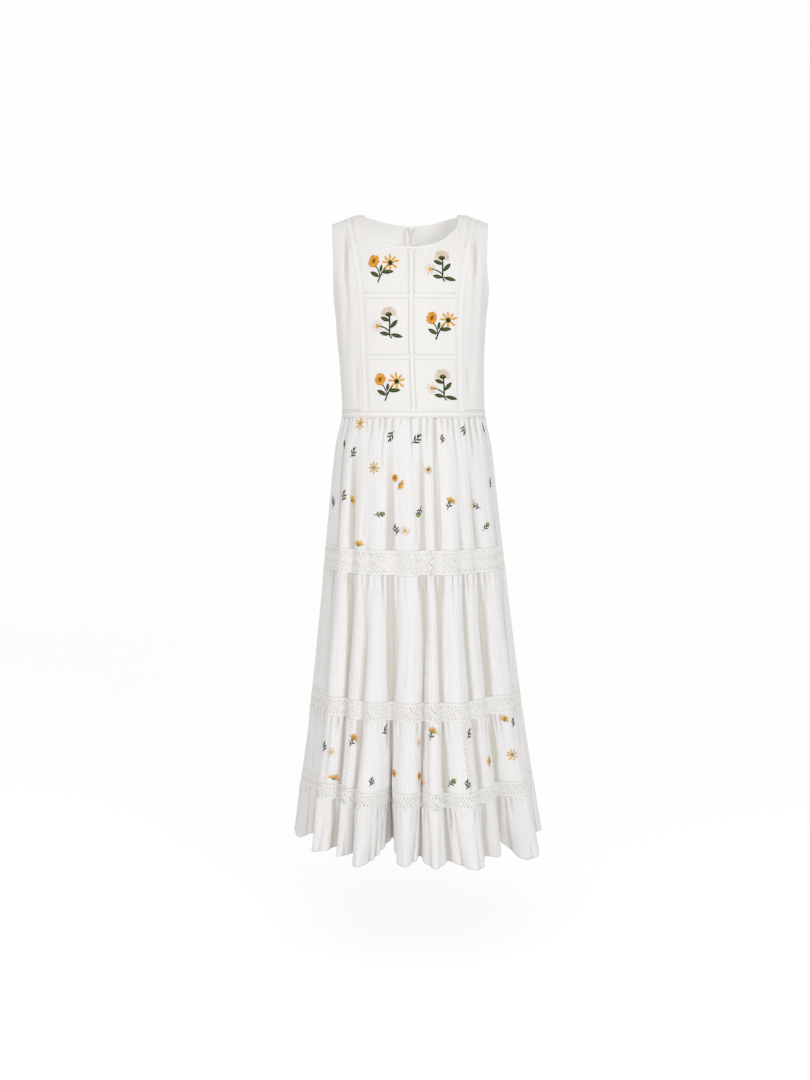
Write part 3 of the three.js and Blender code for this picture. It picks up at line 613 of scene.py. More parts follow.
@dataclass(frozen=True)
class SkirtForm:
    """The skirt's cloth. A place round it is a fold's row in the table, with a share to the next."""

    arc_samples: int = 3000

    def values(self, stops: Sequence[tuple[float, str]], z: Array) -> Array:
        """Columns of the fold table at heights z, a row for each height."""
        heights = np.array([stop for stop, _ in stops], float)
        table = np.array([[row[FOLD_COLUMNS.index(name)] for row in FOLDS] for _, name in stops], float)
        i = np.clip(np.searchsorted(-heights, -z) - 1, 0, len(stops) - 2)
        part = np.clip((z - heights[i]) / (heights[i + 1] - heights[i]), 0, 1)[:, None]
        return table[i] * (1 - part) + table[i + 1] * part

    def grid(self, place: Array, z: Array, hem: bool = False) -> Array:
        """Points of the cloth.

        Args:
            place: Where the columns lie round the skirt.
            z: Heights of the rows, from high to low.
            hem: Whether the lowest row is a hem, which rises in the valleys.

        Returns:
            The points, by row and column.
        """
        line = np.minimum(place.astype(int), len(FOLDS) - 2)
        share = place - line
        angles = self.values(FOLD_PLACES, z)
        depths = self.values(FOLD_DEPTHS, z)
        depths = depths * np.clip((WAIST_BOTTOM - z) / (WAIST_BOTTOM - FOLD_DEPTHS[0][0]), 0, 1)[:, None]
        side, square = SECTIONS.smooth("side", z)[:, None], SECTIONS.smooth("square", z)[:, None]
        gap = angles[:, line + 1] - angles[:, line]
        fall = depths[:, line] - depths[:, line + 1]
        steep = np.clip(fall / (1.3 * np.radians(gap) * side), -1, 1)
        lean = FOLD_LEAN.straight("share", z)[:, None] * steep * np.sin(np.pi * share)
        angle = np.radians(angles[:, line] + gap * (share + lean))
        out = depths[:, line] - fall * ease(share)
        front, back = SECTIONS.smooth("front", z)[:, None], SECTIONS.smooth("back", z)[:, None]
        depth = np.where(np.cos(angle) > 0, front, back)
        x = side * signed_power(np.sin(angle), 2 / square)
        y = -depth * signed_power(np.cos(angle), 2 / square)
        away = np.stack(
            [signed_power(x / side, square - 1) / side, signed_power(y / depth, square - 1) / depth], axis=-1
        )
        away /= np.linalg.norm(away, axis=-1, keepdims=True)
        x = x + SECTIONS.smooth("shift", z)[:, None] + away[..., 0] * out
        y = y + away[..., 1] * out
        height = np.broadcast_to(z[:, None], x.shape).copy()
        if hem:
            part = ((z[0] - z) / (z[0] - z[-1]))[:, None]
            height += part * (HEM_RISE * np.maximum(0, -out) - HEM_DROP * np.maximum(0, out))
            on_front = part * ease(np.clip(-y / HEM_DIP_FADES, 0, 1))
            for middle, reach, drop in HEM_DIPS:
                height -= on_front * drop * np.exp(-(((x - middle) / reach) ** 2))
        return np.stack([x, y, height], axis=-1)

    def sheet(self, first: int, last: int, top: float, bottom: float, columns: int, rows: int, hem: bool) -> Sheet:
        """A stretch of a band, with its columns an even distance apart along the cloth.

        Args:
            first: The fold's row where it starts.
            last: The fold's row where it ends.
            top: Height of its upper edge.
            bottom: Height of its lower edge.
            columns: How many steps it has across.
            rows: How many steps it has down.
            hem: Whether its lower edge is the dress's hem.

        Returns:
            The stretch as a sheet.
        """
        dense = np.linspace(first, last, self.arc_samples)
        look = self.grid(dense, np.array([(top + bottom) / 2, bottom]))
        steps = np.linalg.norm(np.diff(look, axis=1), axis=2).mean(axis=0)
        arc = np.concatenate([[0], np.cumsum(steps)])
        across = np.linspace(HALF_GAP, arc[-1] - HALF_GAP, columns + 1)
        z = np.linspace(top, bottom, rows + 1)
        points = self.grid(np.interp(across, arc, dense), z, hem)
        down = np.broadcast_to((top - z)[:, None], points.shape[:2])
        return Sheet(points, np.broadcast_to(across, points.shape[:2]), down)


# ---------------------------------------------------------------- finishes


class Nodes:
    """The node tree of one finish, with short calls for what the finishes share."""

    def __init__(self, name: str) -> None:
        """Starts a material with one Principled shader."""
        self.material = bpy.data.materials.new(name)
        self.material.use_nodes = True
        self.tree = self.material.node_tree
        self.shader = self.tree.nodes["Principled BSDF"]

    def node(self, kind: str, inputs: dict[str, object] | None = None, **settings: object) -> bpy.types.Node:
        """Adds a node.

        Args:
            kind: The node's type.
            inputs: A value or an output socket for each named or numbered input.
            settings: Values of the node's own properties.

        Returns:
            The node.
        """
        made = self.tree.nodes.new(kind)
        for key, value in settings.items():
            setattr(made, key, value)
        for key, value in (inputs or {}).items():
            self.feed(made.inputs[int(key) if str(key).isdigit() else key], value)
        return made

    def feed(self, socket: bpy.types.NodeSocket, value: object) -> None:
        """Links or sets one input."""
        if isinstance(value, bpy.types.NodeSocket):
            self.tree.links.new(value, socket)
        else:
            socket.default_value = value

    def math(self, operation: str, *values: object) -> bpy.types.NodeSocket:
        """One sum on one to three values."""
        inputs = {str(i): value for i, value in enumerate(values)}
        return self.node("ShaderNodeMath", inputs, operation=operation).outputs[0]

    def span(self, value: object, low: float, high: float, to_low: float = 0, to_high: float = 1) -> object:
        """A value eased from one range to another."""
        inputs = {"0": value, "1": low, "2": high, "3": to_low, "4": to_high}
        return self.node("ShaderNodeMapRange", inputs, interpolation_type="SMOOTHSTEP").outputs[0]

    def mixed(self, share: object, first: Colour, second: Colour) -> bpy.types.NodeSocket:
        """A colour between two."""
        made = self.node("ShaderNodeMix", data_type="RGBA")
        self.feed(made.inputs["Factor"], share)
        self.feed(made.inputs["A"] if False else made.inputs[6], (*first, 1) if isinstance(first, tuple) else first)
        self.feed(made.inputs[7], (*second, 1) if isinstance(second, tuple) else second)
        return made.outputs[2]

    def noise(self, vector: object, scale: float, detail: float = 2) -> bpy.types.NodeSocket:
        """Soft noise from 0 to 1."""
        inputs = {"Vector": vector, "Scale": scale, "Detail": detail}
        return self.node("ShaderNodeTexNoise", inputs).outputs[0]

    def bumped(self, height: object, distance: float, strength: float = 1) -> None:
        """Gives the shader a bump from a height of 0 to 1."""
        inputs = {"Height": height, "Distance": distance, "Strength": strength}
        self.feed(self.shader.inputs["Normal"], self.node("ShaderNodeBump", inputs).outputs[0])

    def set(self, **values: object) -> None:
        """Sets the shader's own sockets, with underscores for spaces."""
        for key, value in values.items():
            self.feed(self.shader.inputs[key.replace("_", " ")], value)


@dataclass(frozen=True)
class StripedCotton:
    """White cotton with upright woven stripes and a slight crinkle. Lengths are in metres."""

    name: str
    pitch: float = 0.005
    line_share: float = 0.3  # of the pitch that the open line takes
    line_depth: float = 0.6  # how far the line's colour shows
    crinkle: float = 0.35
    crinkle_height: float = 0.0005
    wrinkle: float = 0.8  # of long fine creases down the cloth
    cloth: Colour = (0.885, 0.878, 0.868)
    line: Colour = (0.77, 0.755, 0.735)
    shade: Colour = (0.67, 0.65, 0.595)  # down in the creases

    def make(self) -> bpy.types.Material:
        """The material, on the cut's own UV map."""
        n = Nodes(self.name)
        uv = n.node("ShaderNodeUVMap", uv_map="cut").outputs[0]
        split = n.node("ShaderNodeSeparateXYZ", {"0": uv})
        wander = n.math("MULTIPLY", n.noise(uv, 60), 0.0008)
        across = n.math("ADD", split.outputs[0], wander)
        phase = n.math("FRACT", n.math("DIVIDE", across, self.pitch))
        off = n.math("MULTIPLY", n.math("ABSOLUTE", n.math("SUBTRACT", phase, 0.5)), 2)
        line = n.span(off, 1 - self.line_share * 1.5, 1 - self.line_share * 0.4)
        fine = n.math("SINE", n.math("MULTIPLY", across, 2 * math.pi / (self.pitch / 4)))
        stretched = n.node("ShaderNodeMapping", {"0": uv, "3": (700, 230, 1)}).outputs[0]
        crinkled = n.noise(stretched, 1, 3)
        streaks = n.node("ShaderNodeMapping", {"0": uv, "3": (190, 14, 1)}).outputs[0]
        streaky = n.noise(streaks, 1)
        patchy = n.math("MULTIPLY", n.span(streaky, 0.35, 0.65, 0.3, 1), n.span(n.noise(uv, 35), 0.3, 0.7, 0.6, 1))
        shown = n.math("MULTIPLY", n.math("MULTIPLY", line, patchy), self.line_depth)
        striped = n.mixed(shown, self.cloth, self.line)
        hollow = n.node("ShaderNodeAttribute", attribute_name="hollow").outputs["Fac"]
        rope = n.node("ShaderNodeAttribute", attribute_name="rope").outputs["Fac"]
        twist = n.math("ADD", n.math("DIVIDE", split.outputs[0], 0.014), n.math("DIVIDE", split.outputs[1], 0.0085))
        coil = n.math("MULTIPLY_ADD", n.math("SINE", n.math("MULTIPLY", twist, 2 * math.pi)), 0.5, 0.5)
        coil = n.math("MULTIPLY", coil, rope)
        # Painted shade: the colour darkens towards the shade tone in the cloth's hollows and in the dark turns of
        # the puckered twists.
        deep = n.math("MAXIMUM", hollow, n.math("MULTIPLY", coil, 0.8))
        n.set(Base_Color=n.mixed(deep, striped, self.shade), Roughness=0.9, Sheen_Weight=0.15)
        n.set(Sheen_Roughness=0.5, Specular_IOR_Level=0.25)
        ribs = n.math("MULTIPLY_ADD", fine, 0.06, n.math("MULTIPLY", line, -0.45))
        ribs = n.math("MULTIPLY_ADD", coil, -2.2, ribs)
        ribs = n.math("MULTIPLY_ADD", streaky, self.wrinkle, ribs)
        height = n.math("MULTIPLY_ADD", crinkled, self.crinkle * 2, ribs)
        n.bumped(height, self.crinkle_height)
        return n.material


@dataclass(frozen=True)
class CottonThread:
    """White cotton thread with a twist, for lace, ladder trims and piping."""

    name: str
    twist: float = 0.0016  # metres from turn to turn
    colour: Colour = (0.94, 0.935, 0.91)
    # Painted shade in the grooves between the twist's strands.
    shade: Colour = (0.86, 0.85, 0.82)

    def make(self) -> bpy.types.Material:
        """The material, on the thread's own UV map: along it, and once round it."""
        n = Nodes(self.name)
        uv = n.node("ShaderNodeUVMap", uv_map="cut").outputs[0]
        split = n.node("ShaderNodeSeparateXYZ", {"0": uv})
        turn = n.math("ADD", n.math("DIVIDE", split.outputs[0], self.twist), split.outputs[1])
        strand = n.math("MULTIPLY_ADD", n.math("SINE", n.math("MULTIPLY", turn, 2 * math.pi)), 0.5, 0.5)
        # Painted shade in the twist's grooves, its strength varying at random.
        uneven_groove_shade = n.noise(uv, 90)
        tone = n.math("MULTIPLY", n.math("SUBTRACT", 1, strand), n.span(uneven_groove_shade, 0.3, 0.7, 0.3, 0.8))
        # The thread attribute's colour is the thread's dye, and on the holes' patches painted shade.
        dye_and_hole_shade = n.node("ShaderNodeMix", data_type="RGBA", blend_type="MULTIPLY")
        dye_and_hole_shade.inputs["Factor"].default_value = 1
        n.feed(dye_and_hole_shade.inputs[6], n.mixed(tone, self.colour, self.shade))
        n.feed(dye_and_hole_shade.inputs[7], n.node("ShaderNodeAttribute", attribute_name="thread").outputs[0])
        n.set(Base_Color=dye_and_hole_shade.outputs[2], Roughness=0.85, Sheen_Weight=0.15)
        n.set(Specular_IOR_Level=0.25)
        n.bumped(strand, 0.00015)
        return n.material


@dataclass(frozen=True)
class EmbroideryThread:
    """Smooth embroidery thread in the colour that each stitch carries."""

    name: str = "embroidery_thread"
    strand: float = 0.0006

    def make(self) -> bpy.types.Material:
        """The material, on the stitches' UV map and colour attribute."""
        n = Nodes(self.name)
        uv = n.node("ShaderNodeUVMap", uv_map="cut").outputs[0]
        colour = n.node("ShaderNodeAttribute", attribute_name="thread").outputs[0]
        split = n.node("ShaderNodeSeparateXYZ", {"0": uv})
        wave = n.math("SINE", n.math("MULTIPLY", split.outputs[0], 2 * math.pi / self.strand))
        strand = n.math("MULTIPLY_ADD", wave, 0.5, 0.5)
        shaded = n.node("ShaderNodeMix", data_type="RGBA", blend_type="MULTIPLY")
        n.feed(shaded.inputs["Factor"], n.span(strand, 0, 1, 0.45, 0))
        n.feed(shaded.inputs[6], colour)
        shaded.inputs[7].default_value = (0.72, 0.62, 0.5, 1)
        n.set(Base_Color=shaded.outputs[2], Roughness=0.6, Sheen_Weight=0.03, Specular_IOR_Level=0.2)
        n.bumped(strand, 0.00025)
        return n.material


@dataclass(frozen=True)
class ZipNylon:
    """Moulded nylon or painted metal of the zip, with fine wear."""

    name: str
    colour: Colour
    roughness: float
    metallic: float = 0

    def make(self) -> bpy.types.Material:
        """The material, on object coordinates."""
        n = Nodes(self.name)
        place = n.node("ShaderNodeTexCoord").outputs["Object"]
        grain = n.noise(place, 900, 3)
        tone = n.span(grain, 0.3, 0.7, 0, 0.5)
        dark = tuple(0.8 * part for part in self.colour)
        n.set(Base_Color=n.mixed(tone, self.colour, dark), Metallic=self.metallic)
        n.set(Roughness=n.span(grain, 0.2, 0.8, self.roughness - 0.08, self.roughness + 0.1))
        n.bumped(grain, 0.00006)
        return n.material


class Finishes:
    """Every finish of the dress, made once."""

    flat = 0.00008  # height of a fine weave, in metres
    skirt_white: Colour = (0.885, 0.885, 0.892)

    def __init__(self) -> None:
        """Makes the materials."""
        self.bodice = StripedCotton("striped_cotton_bodice", pitch=0.0050, line_depth=0.85).make()
        self.inside = StripedCotton(
            "striped_cotton_inside", pitch=0.0050, line_depth=0.2, crinkle=0.3, crinkle_height=self.flat
        ).make()
        self.tier = StripedCotton("striped_cotton_tier", pitch=0.0054, line_depth=0.85, wrinkle=1.5, cloth=self.skirt_white).make()
        self.ruffle = StripedCotton(
            "striped_cotton_ruffle", pitch=0.0046, line_depth=0.95, crinkle=0.5, wrinkle=2.6, cloth=self.skirt_white
        ).make()
        self.lace = CottonThread("lace_thread").make()
        # A dark sheet of painted shade, seen through the lace's openings.
        self.net = StripedCotton(
            "net_ground", pitch=0.0011, line_depth=0.6, crinkle_height=self.flat, cloth=(0.52, 0.51, 0.485),
            line=(0.44, 0.43, 0.41),
        ).make()
        self.trim_tape = StripedCotton(
            "trim_tape", pitch=0.0012, line_depth=0.4, crinkle_height=self.flat, cloth=(0.89, 0.885, 0.87),
            line=(0.84, 0.835, 0.82),
        ).make()
        self.trim = CottonThread("trim_thread", twist=0.0024).make()
        self.binding = StripedCotton(
            "binding_cotton", pitch=0.0012, line_depth=0.4, crinkle_height=self.flat, cloth=(0.89, 0.885, 0.87),
            line=(0.84, 0.835, 0.82),
        ).make()
        self.embroidery = EmbroideryThread().make()
        self.tape = StripedCotton(
            "zip_tape_weave", pitch=0.0012, line_depth=0.4, crinkle_height=self.flat, cloth=(0.85, 0.84, 0.82), line=(0.80, 0.79, 0.76)
        ).make()
        self.coil = ZipNylon("zip_coil_nylon", (0.82, 0.77, 0.68), 0.45).make()
        self.metal = ZipNylon("zip_painted_metal", (0.78, 0.73, 0.64), 0.35, 0.2).make()


# ---------------------------------------------------------------- making meshes


def mesh_object(
    name: str, points: Array, faces: Sequence[Sequence[int]], uvs: Array, material: bpy.types.Material
) -> bpy.types.Object:
    """A smooth mesh object at the origin.

    Args:
        name: Of the piece.
        points: Vertices in millimetres.
        faces: Vertex numbers of each face, facing outwards.
        uvs: A place in the cut for each vertex, in millimetres.
        material: Its finish.

    Returns:
        The object, in the scene.
    """
    mesh = bpy.data.meshes.new(name)
    mesh.from_pydata((points * MM).tolist(), [], faces)
    corners = np.zeros(len(mesh.loops), np.int32)
    mesh.loops.foreach_get("vertex_index", corners)
    layer = mesh.uv_layers.new(name="cut")
    layer.data.foreach_set("uv", (uvs[corners] * MM).astype(np.float32).ravel())
    mesh.polygons.foreach_set("use_smooth", np.ones(len(mesh.polygons), bool))
    mesh.set_sharp_from_angle(angle=math.radians(SHARP_ANGLE))
    mesh.materials.append(material)
    mesh.update()
    made = bpy.data.objects.new(name, mesh)
    bpy.context.scene.collection.objects.link(made)
    return made


def cloth_object(
    name: str, sheet: Sheet, wall: float, material: bpy.types.Material, ropes: Array | None = None
) -> bpy.types.Object:
    """A sheet as a piece of cloth.

    Args:
        name: Of the piece.
        sheet: Its grid.
        wall: Its thickness in millimetres, live as a Solidify modifier.
        material: Its finish.
        ropes: How strongly a puckered seam shows at each point, if any does.

    Returns:
        The object, with its hollows as an attribute for the finish's painted shade.
    """
    rows, columns = sheet.across.shape
    corner = np.arange(rows * columns).reshape(rows, columns)
    faces = np.stack(
        [corner[:-1, :-1], corner[1:, :-1], corner[1:, 1:], corner[:-1, 1:]], axis=-1
    ).reshape(-1, 4)
    uvs = np.stack([sheet.across, -sheet.down], axis=-1).reshape(-1, 2)
    made = mesh_object(name, sheet.points.reshape(-1, 3), faces.tolist(), uvs, material)
    for key, values in (("hollow", sheet.hollows()), ("rope", ropes)):
        if values is not None:
            layer = made.data.attributes.new(key, "FLOAT", "POINT")
            layer.data.foreach_set("value", values.astype(np.float32).ravel())
    solid = made.modifiers.new("wall", "SOLIDIFY")
    solid.thickness = wall * MM
    solid.offset = 0
    return made


@dataclass
class Template:
    """A small shape modelled once, to be copied into stitch work."""

    points: Array
    faces: list[list[int]]


@dataclass(frozen=True)
class HoleRow:
    """Sizes of a row of holes, that lie to one side of it and the other in turn, each drawn as a flat patch in a
    dark tone of painted shade. Millimetres.
    """

    step: float = 2.65
    swing: float = 0.85
    length: float = 1.7
    width: float = 1.2
    level: float = 0.12
    # Painted shade: the dark tone that stands for the shadow inside an open hole.
    tone: Colour = (0.53, 0.52, 0.49)


@dataclass
class FlatWork:
    """Threads, tapes and stitches drawn flat, in millimetres across, up and out of the cloth."""

    points: list[Array] = field(default_factory=list)
    uvs: list[Array] = field(default_factory=list)
    colours: list[Array] = field(default_factory=list)
    faces: list[list[int]] = field(default_factory=list)
    count: int = 0

    def add(self, points: Array, faces: Sequence[Sequence[int]], uvs: Array, colour: Colour = (1, 1, 1)) -> None:
        """Adds a shape.

        Args:
            points: Its vertices.
            faces: Its faces, by vertex number.
            uvs: A place along and round the thread for each vertex.
            colour: Of its thread.
        """
        self.faces += [[self.count + corner for corner in face] for face in faces]
        self.points.append(points)
        self.uvs.append(uvs)
        self.colours.append(np.tile((*colour, 1), (len(points), 1)))
        self.count += len(points)

    def thread(
        self, path: Array, half_width: Array | float, half_height: float, sides: int = 4, colour: Colour = (1, 1, 1)
    ) -> None:
        """Adds a thread along a path.

        Args:
            path: Points across, up and out.
            half_width: Half its width in the cloth's plane, for the whole or for each point.
            half_height: Half its height out of the cloth.
            sides: How many sides it has, 4 or 6.
            colour: Of the thread.
        """
        ahead = np.gradient(path, axis=0)
        beside = np.stack([-ahead[:, 1], ahead[:, 0]], axis=1)
        beside /= np.maximum(np.linalg.norm(beside, axis=1, keepdims=True), 1e-9)
        turn = 2 * np.pi * (np.arange(sides) + 0.5 * (sides == 4)) / sides
        wide = np.broadcast_to(half_width, len(path))[:, None] * np.cos(turn)
        rings = np.empty((len(path), sides, 3))
        rings[..., :2] = path[:, None, :2] + beside[:, None, :] * wide[..., None]
        rings[..., 2] = path[:, None, 2] + half_height * np.sin(turn)
        along = np.concatenate([[0], np.cumsum(np.linalg.norm(np.diff(path, axis=0), axis=1))])
        around = np.broadcast_to(1000 * np.arange(sides) / sides, (len(path), sides))
        uvs = np.stack([np.broadcast_to(along[:, None], around.shape), around], axis=-1)
        ring = np.arange(sides)
        start = sides * np.arange(len(path) - 1)[:, None]
        following = (ring + 1) % sides
        walls = np.stack([start + ring, start + following, start + sides + following, start + sides + ring], -1)
        last = sides * (len(path) - 1)
        caps = [[3, 2, 1, 0], [last, last + 1, last + 2, last + 3]]
        if sides == 6:
            caps += [[5, 4, 3, 0], [last, last + 3, last + 4, last + 5]]
        self.add(rings.reshape(-1, 3), walls.reshape(-1, 4).tolist() + caps, uvs.reshape(-1, 2), colour)

    def holes(self, line: "TrimLine", length: float, off: float, row: "HoleRow") -> None:
        """Adds a row of small holes along a trim, drawn as flat patches in a dark tone of painted shade.

        Args:
            line: The trim's path.
            length: Of the trim.
            off: How far across it the row runs.
            row: The row's sizes.
        """
        for number, start in enumerate(np.arange(row.step, length - row.step, row.step)):
            swing = row.swing * (1 if number % 2 else -1)
            path = line(np.array([start - row.length / 2, start + row.length / 2]), off + swing)
            path[:, 2] += row.level
            self.thread(path, row.width / 2 * SQUARE_CORNER, 0.1, colour=row.tone)

    def place(
        self,
        template: Template,
        at: tuple[float, float],
        turn: float,
        size: tuple[float, float, float],
        colour: Colour,
        level: float = 0,
    ) -> None:
        """Adds a copy of a template.

        Args:
            template: The shape, 1 long up from its base and 1 wide.
            at: Its base, across and up.
            turn: Degrees from upright, towards the left.
            size: Its width, length and height.
            colour: Of its thread.
            level: How far it is raised, over what lies under it.
        """
        flat = template.points * size + (0, 0, level)
        cosine, sine = math.cos(math.radians(turn)), math.sin(math.radians(turn))
        x = at[0] + flat[:, 0] * cosine - flat[:, 1] * sine
        y = at[1] + flat[:, 0] * sine + flat[:, 1] * cosine
        uvs = flat[:, :2].copy()
        self.add(np.stack([x, y, flat[:, 2]], axis=1), template.faces, uvs, colour)

    def laid(self, ground: Ground, name: str, lift: float, material: bpy.types.Material) -> bpy.types.Object:
        """The work as one mesh, laid on a ground and raised by lift."""
        points, uvs = np.concatenate(self.points), np.concatenate(self.uvs)
        places = ground.lay(points[:, 0], points[:, 1], points[:, 2] + lift)
        made = mesh_object(name, places, self.faces, uvs, material)
        shade = made.data.color_attributes.new("thread", "FLOAT_COLOR", "POINT")
        shade.data.foreach_set("color", np.concatenate(self.colours).astype(np.float32).ravel())
        return made


def finish_piece(piece: bpy.types.Object, slot: str, *nodes: str) -> None:
    """Puts a finished piece in place of its nodes and reports it.

    Args:
        piece: The object.
        slot: Not used.
        nodes: The construction's nodes that it stands for, if any.
    """
    if nodes:
        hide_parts(*nodes)
    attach(piece, BODY)
    log.info("%s: %d faces", piece.name, len(piece.data.polygons))


# ---------------------------------------------------------------- the bodice


@dataclass
class Bodice:
    """Six squares in ladder trims, two side fronts, two backs and the neck binding."""

    finishes: Finishes
    form: BodiceForm = field(default_factory=BodiceForm)
    centre_trim: float = 10
    edge_trim: float = 14
    cross_trim: float = 8
    cross_trim_tops: tuple[float, float] = (-174, -296)
    binding: float = 5
    holes: HoleRow = HoleRow()
    # The holes' dark tones are painted shade.
    cross_holes: HoleRow = HoleRow(swing=0.35, tone=(0.6, 0.59, 0.56))
    edge_holes: HoleRow = HoleRow(swing=0.5, tone=(0.72, 0.71, 0.68))
    centre_rows: float = 8  # from one row of holes to the other
    cross_rows: float = 7
    edge_rows: float = 10.5
    overlap: float = 0.7  # of a trim's tape over the squares beside it
    tucked: float = 1.2  # of the cloth under the neck's binding
    wall: float = 0.9
    column: float = 3.0  # the grid's step
    eye: tuple[float, float] = (6.5, 13)  # half width and height of the loop inside the back neck
    eye_lift: float = -4.2  # it lies inside the zip's tape
    eye_tone: Colour = (0.66, 0.63, 0.5)
    zip_parts: float = -40  # above this height the two backs part in a small V
    zip_parting: float = 0.5
    armhole_in: tuple[float, float] = (7, 2)  # by which the left and the right armhole lie further in
    armhole_turns: tuple[float, float] = (-170, -100)  # heights between which they come in

    def front_seam(self, z: Array) -> Array:
        """The x of the seam between the squares' panel and the side front."""
        return FRONT_SEAM.smooth("x", z)

    def square_edge(self, z: Array) -> Array:
        """The x of the squares' outer edge."""
        return self.front_seam(z) - self.edge_trim

    def side_edge(self, hand: int) -> Edge:
        """The x of one armhole, and below it of the side seam."""
        inset = self.armhole_in[0] if hand > 0 else self.armhole_in[1]
        low, high = self.armhole_turns

        def edge(z: Array) -> Array:
            z = np.asarray(z, float)
            armhole = ARMHOLE_EDGE.smooth("x", z) - inset * ease(np.clip((z - low) / (high - low), 0, 1))
            return np.where(z > ARMHOLE_BOTTOM, armhole, SECTIONS.smooth("side", z))

        return edge

    def centre_back(self, z: Array) -> Array:
        """The x of a back's edge at the zip, which parts a little at the neck."""
        part = np.clip((z - self.zip_parts) / (-self.form.neck_back - self.zip_parts), 0, 1)
        return HALF_GAP + self.zip_parting * part**1.5

    def on_shoulder(self, edge: Edge) -> float:
        """The x at which an upright edge meets the shoulder."""
        z = 0.0
        for _ in range(8):
            z = float(self.form.shoulder_top(edge(np.array(z))))
        return float(edge(np.array(z)))

    def along_shoulder(self, start: float, end: float, count: int) -> Array:
        """Points along the shoulder, with both ends."""
        x = np.linspace(start, end, count)
        return np.stack([x, self.form.shoulder_top(x)], axis=1)

    def neck_tops(self, face: Face, first_x: float, end_x: float) -> Array:
        """Tops of columns that start under the neck's binding and go on along the shoulder."""
        grown = self.binding - self.tucked
        turns = np.linspace(self.form.neck_turn(face, first_x, grown), 90, 34)
        x, z = self.form.neck(face, turns, grown)
        count = max(3, int((end_x - x[-1]) / self.column))
        return np.vstack([np.stack([x, z], axis=1), self.along_shoulder(x[-1], end_x, count)[1:]])

    def sew(self, name: str, sheet: Sheet) -> None:
        """Makes a piece of the bodice.

        Args:
            name: The piece, as in the construction.
            sheet: Its cloth.
        """
        piece = cloth_object(f"{name}_cloth", sheet, self.wall, self.finishes.bodice)
        piece.data.materials.append(self.finishes.inside)
        piece.modifiers["wall"].material_offset = 1
        finish_piece(piece, "striped_cotton", name)

    def build_squares(self, hand: int, side: str) -> None:
        """The three squares on one side of the centre trim."""
        half = self.centre_trim / 2 + HALF_GAP
        inner = lambda z: np.full_like(np.asarray(z, float), half)
        outer = lambda z: self.square_edge(z) - HALF_GAP
        tops = self.neck_tops(Face.FRONT, half, self.on_shoulder(outer))
        bottoms = [*self.cross_trim_tops, None]
        for row, trim_top in enumerate(bottoms):
            bottom = LOWEST_BODICE if trim_top is None else trim_top + HALF_GAP
            if row > 0:
                top = self.cross_trim_tops[row - 1] - self.cross_trim - HALF_GAP
                x = np.linspace(half, float(outer(np.array(top))), 32)
                tops = np.stack([x, np.full_like(x, top)], axis=1)
            rows = 56 if row == 0 else 34
            sheet = self.form.panel(
                Face.FRONT, hand, tops, inner, outer, bottom, rows, 1.8 if row == 0 else 1
            )
            width = float(outer(np.array(tops[-1, 1]))) - half
            self.sew(f"front_square_{row + 1}_{side}", sheet)

    def build_side_front(self, hand: int, side: str) -> None:
        """The plain panel from the shoulder and armhole to the waist."""
        inner = lambda z: self.front_seam(z) + HALF_GAP
        outer = self.side_edge(hand)
        tops = self.along_shoulder(self.on_shoulder(inner), self.on_shoulder(outer), 36)
        sheet = self.form.panel(Face.FRONT, hand, tops, inner, outer, LOWEST_BODICE, 110, 1.7)
        self.sew(f"side_front_{side}", sheet)

    def build_back(self, hand: int, side: str) -> None:
        """One back, from the zip to the side seam."""
        first = float(self.centre_back(np.array(-self.form.neck_back)))
        outer = self.side_edge(hand)
        tops = self.neck_tops(Face.BACK, first, self.on_shoulder(outer))
        sheet = self.form.panel(Face.BACK, hand, tops, self.centre_back, outer, LOWEST_BODICE, 110, 1.7)
        self.sew(f"back_{side}", sheet)

    def ladder(self, work: FlatWork, line: TrimLine, length: float, apart: float, holes: HoleRow) -> None:
        """A ladder trim's stitches: two rows of small holes in painted shade, with a thread that winds between
        them.

        Args:
            work: Where the threads go.
            line: The path at places along the trim, this far across it.
            length: Of the trim.
            apart: From one row to the other.
            holes: The rows' sizes.
        """
        stops = np.arange(holes.step / 2, length, holes.step)
        for row in (-1, 1):
            off = row * apart / 2
            work.holes(line, length, off, holes)
            path = line(stops, off)
            swing = np.where(np.arange(len(stops)) % 2, -0.5, 0.5)
            path += (line(stops, off + 1.0) - path) * swing[:, None]
            path[:, 2] += 0.25
            work.thread(path, 0.5, 0.25)

    def build_trims(self) -> None:
        """The ladder trims down the centre, across between the squares, and beside them."""
        ground = BodiceGround(self.form, Face.FRONT)
        top = -self.form.neck_front - self.binding - 1
        self.build_trim(
            "centre_trim", ground, (top, LOWEST_BODICE), self.centre_trim, self.centre_rows, self.holes
        )
        for hand, side in ((1, "left"), (-1, "right")):
            for row, cross_top in enumerate(self.cross_trim_tops):
                start, z = self.centre_trim / 2 + HALF_GAP, cross_top - self.cross_trim / 2
                end = float(self.square_edge(np.array(z))) - HALF_GAP
                line = lambda along, across, start=start, z=z, hand=hand: np.stack(
                    [hand * (start + along), np.full_like(along, z) + across, 0 * along], axis=1
                )
                work = FlatWork()
                width = self.cross_trim - GAP
                self.ladder(work, line, end - start, self.cross_rows, self.cross_holes)
                self.sew_trim(work, ground, f"cross_trim_{row + 1}_{side}", line, end - start, width)
            shoulder = float(self.form.shoulder_top(self.on_shoulder(self.square_edge)))
            edge = SeamGround(self.form, hand, self.square_edge, shoulder - 2)
            self.build_trim(
                f"edge_trim_{side}", edge, (shoulder - 2, LOWEST_BODICE), self.edge_trim, self.edge_rows,
                self.edge_holes, hand
            )

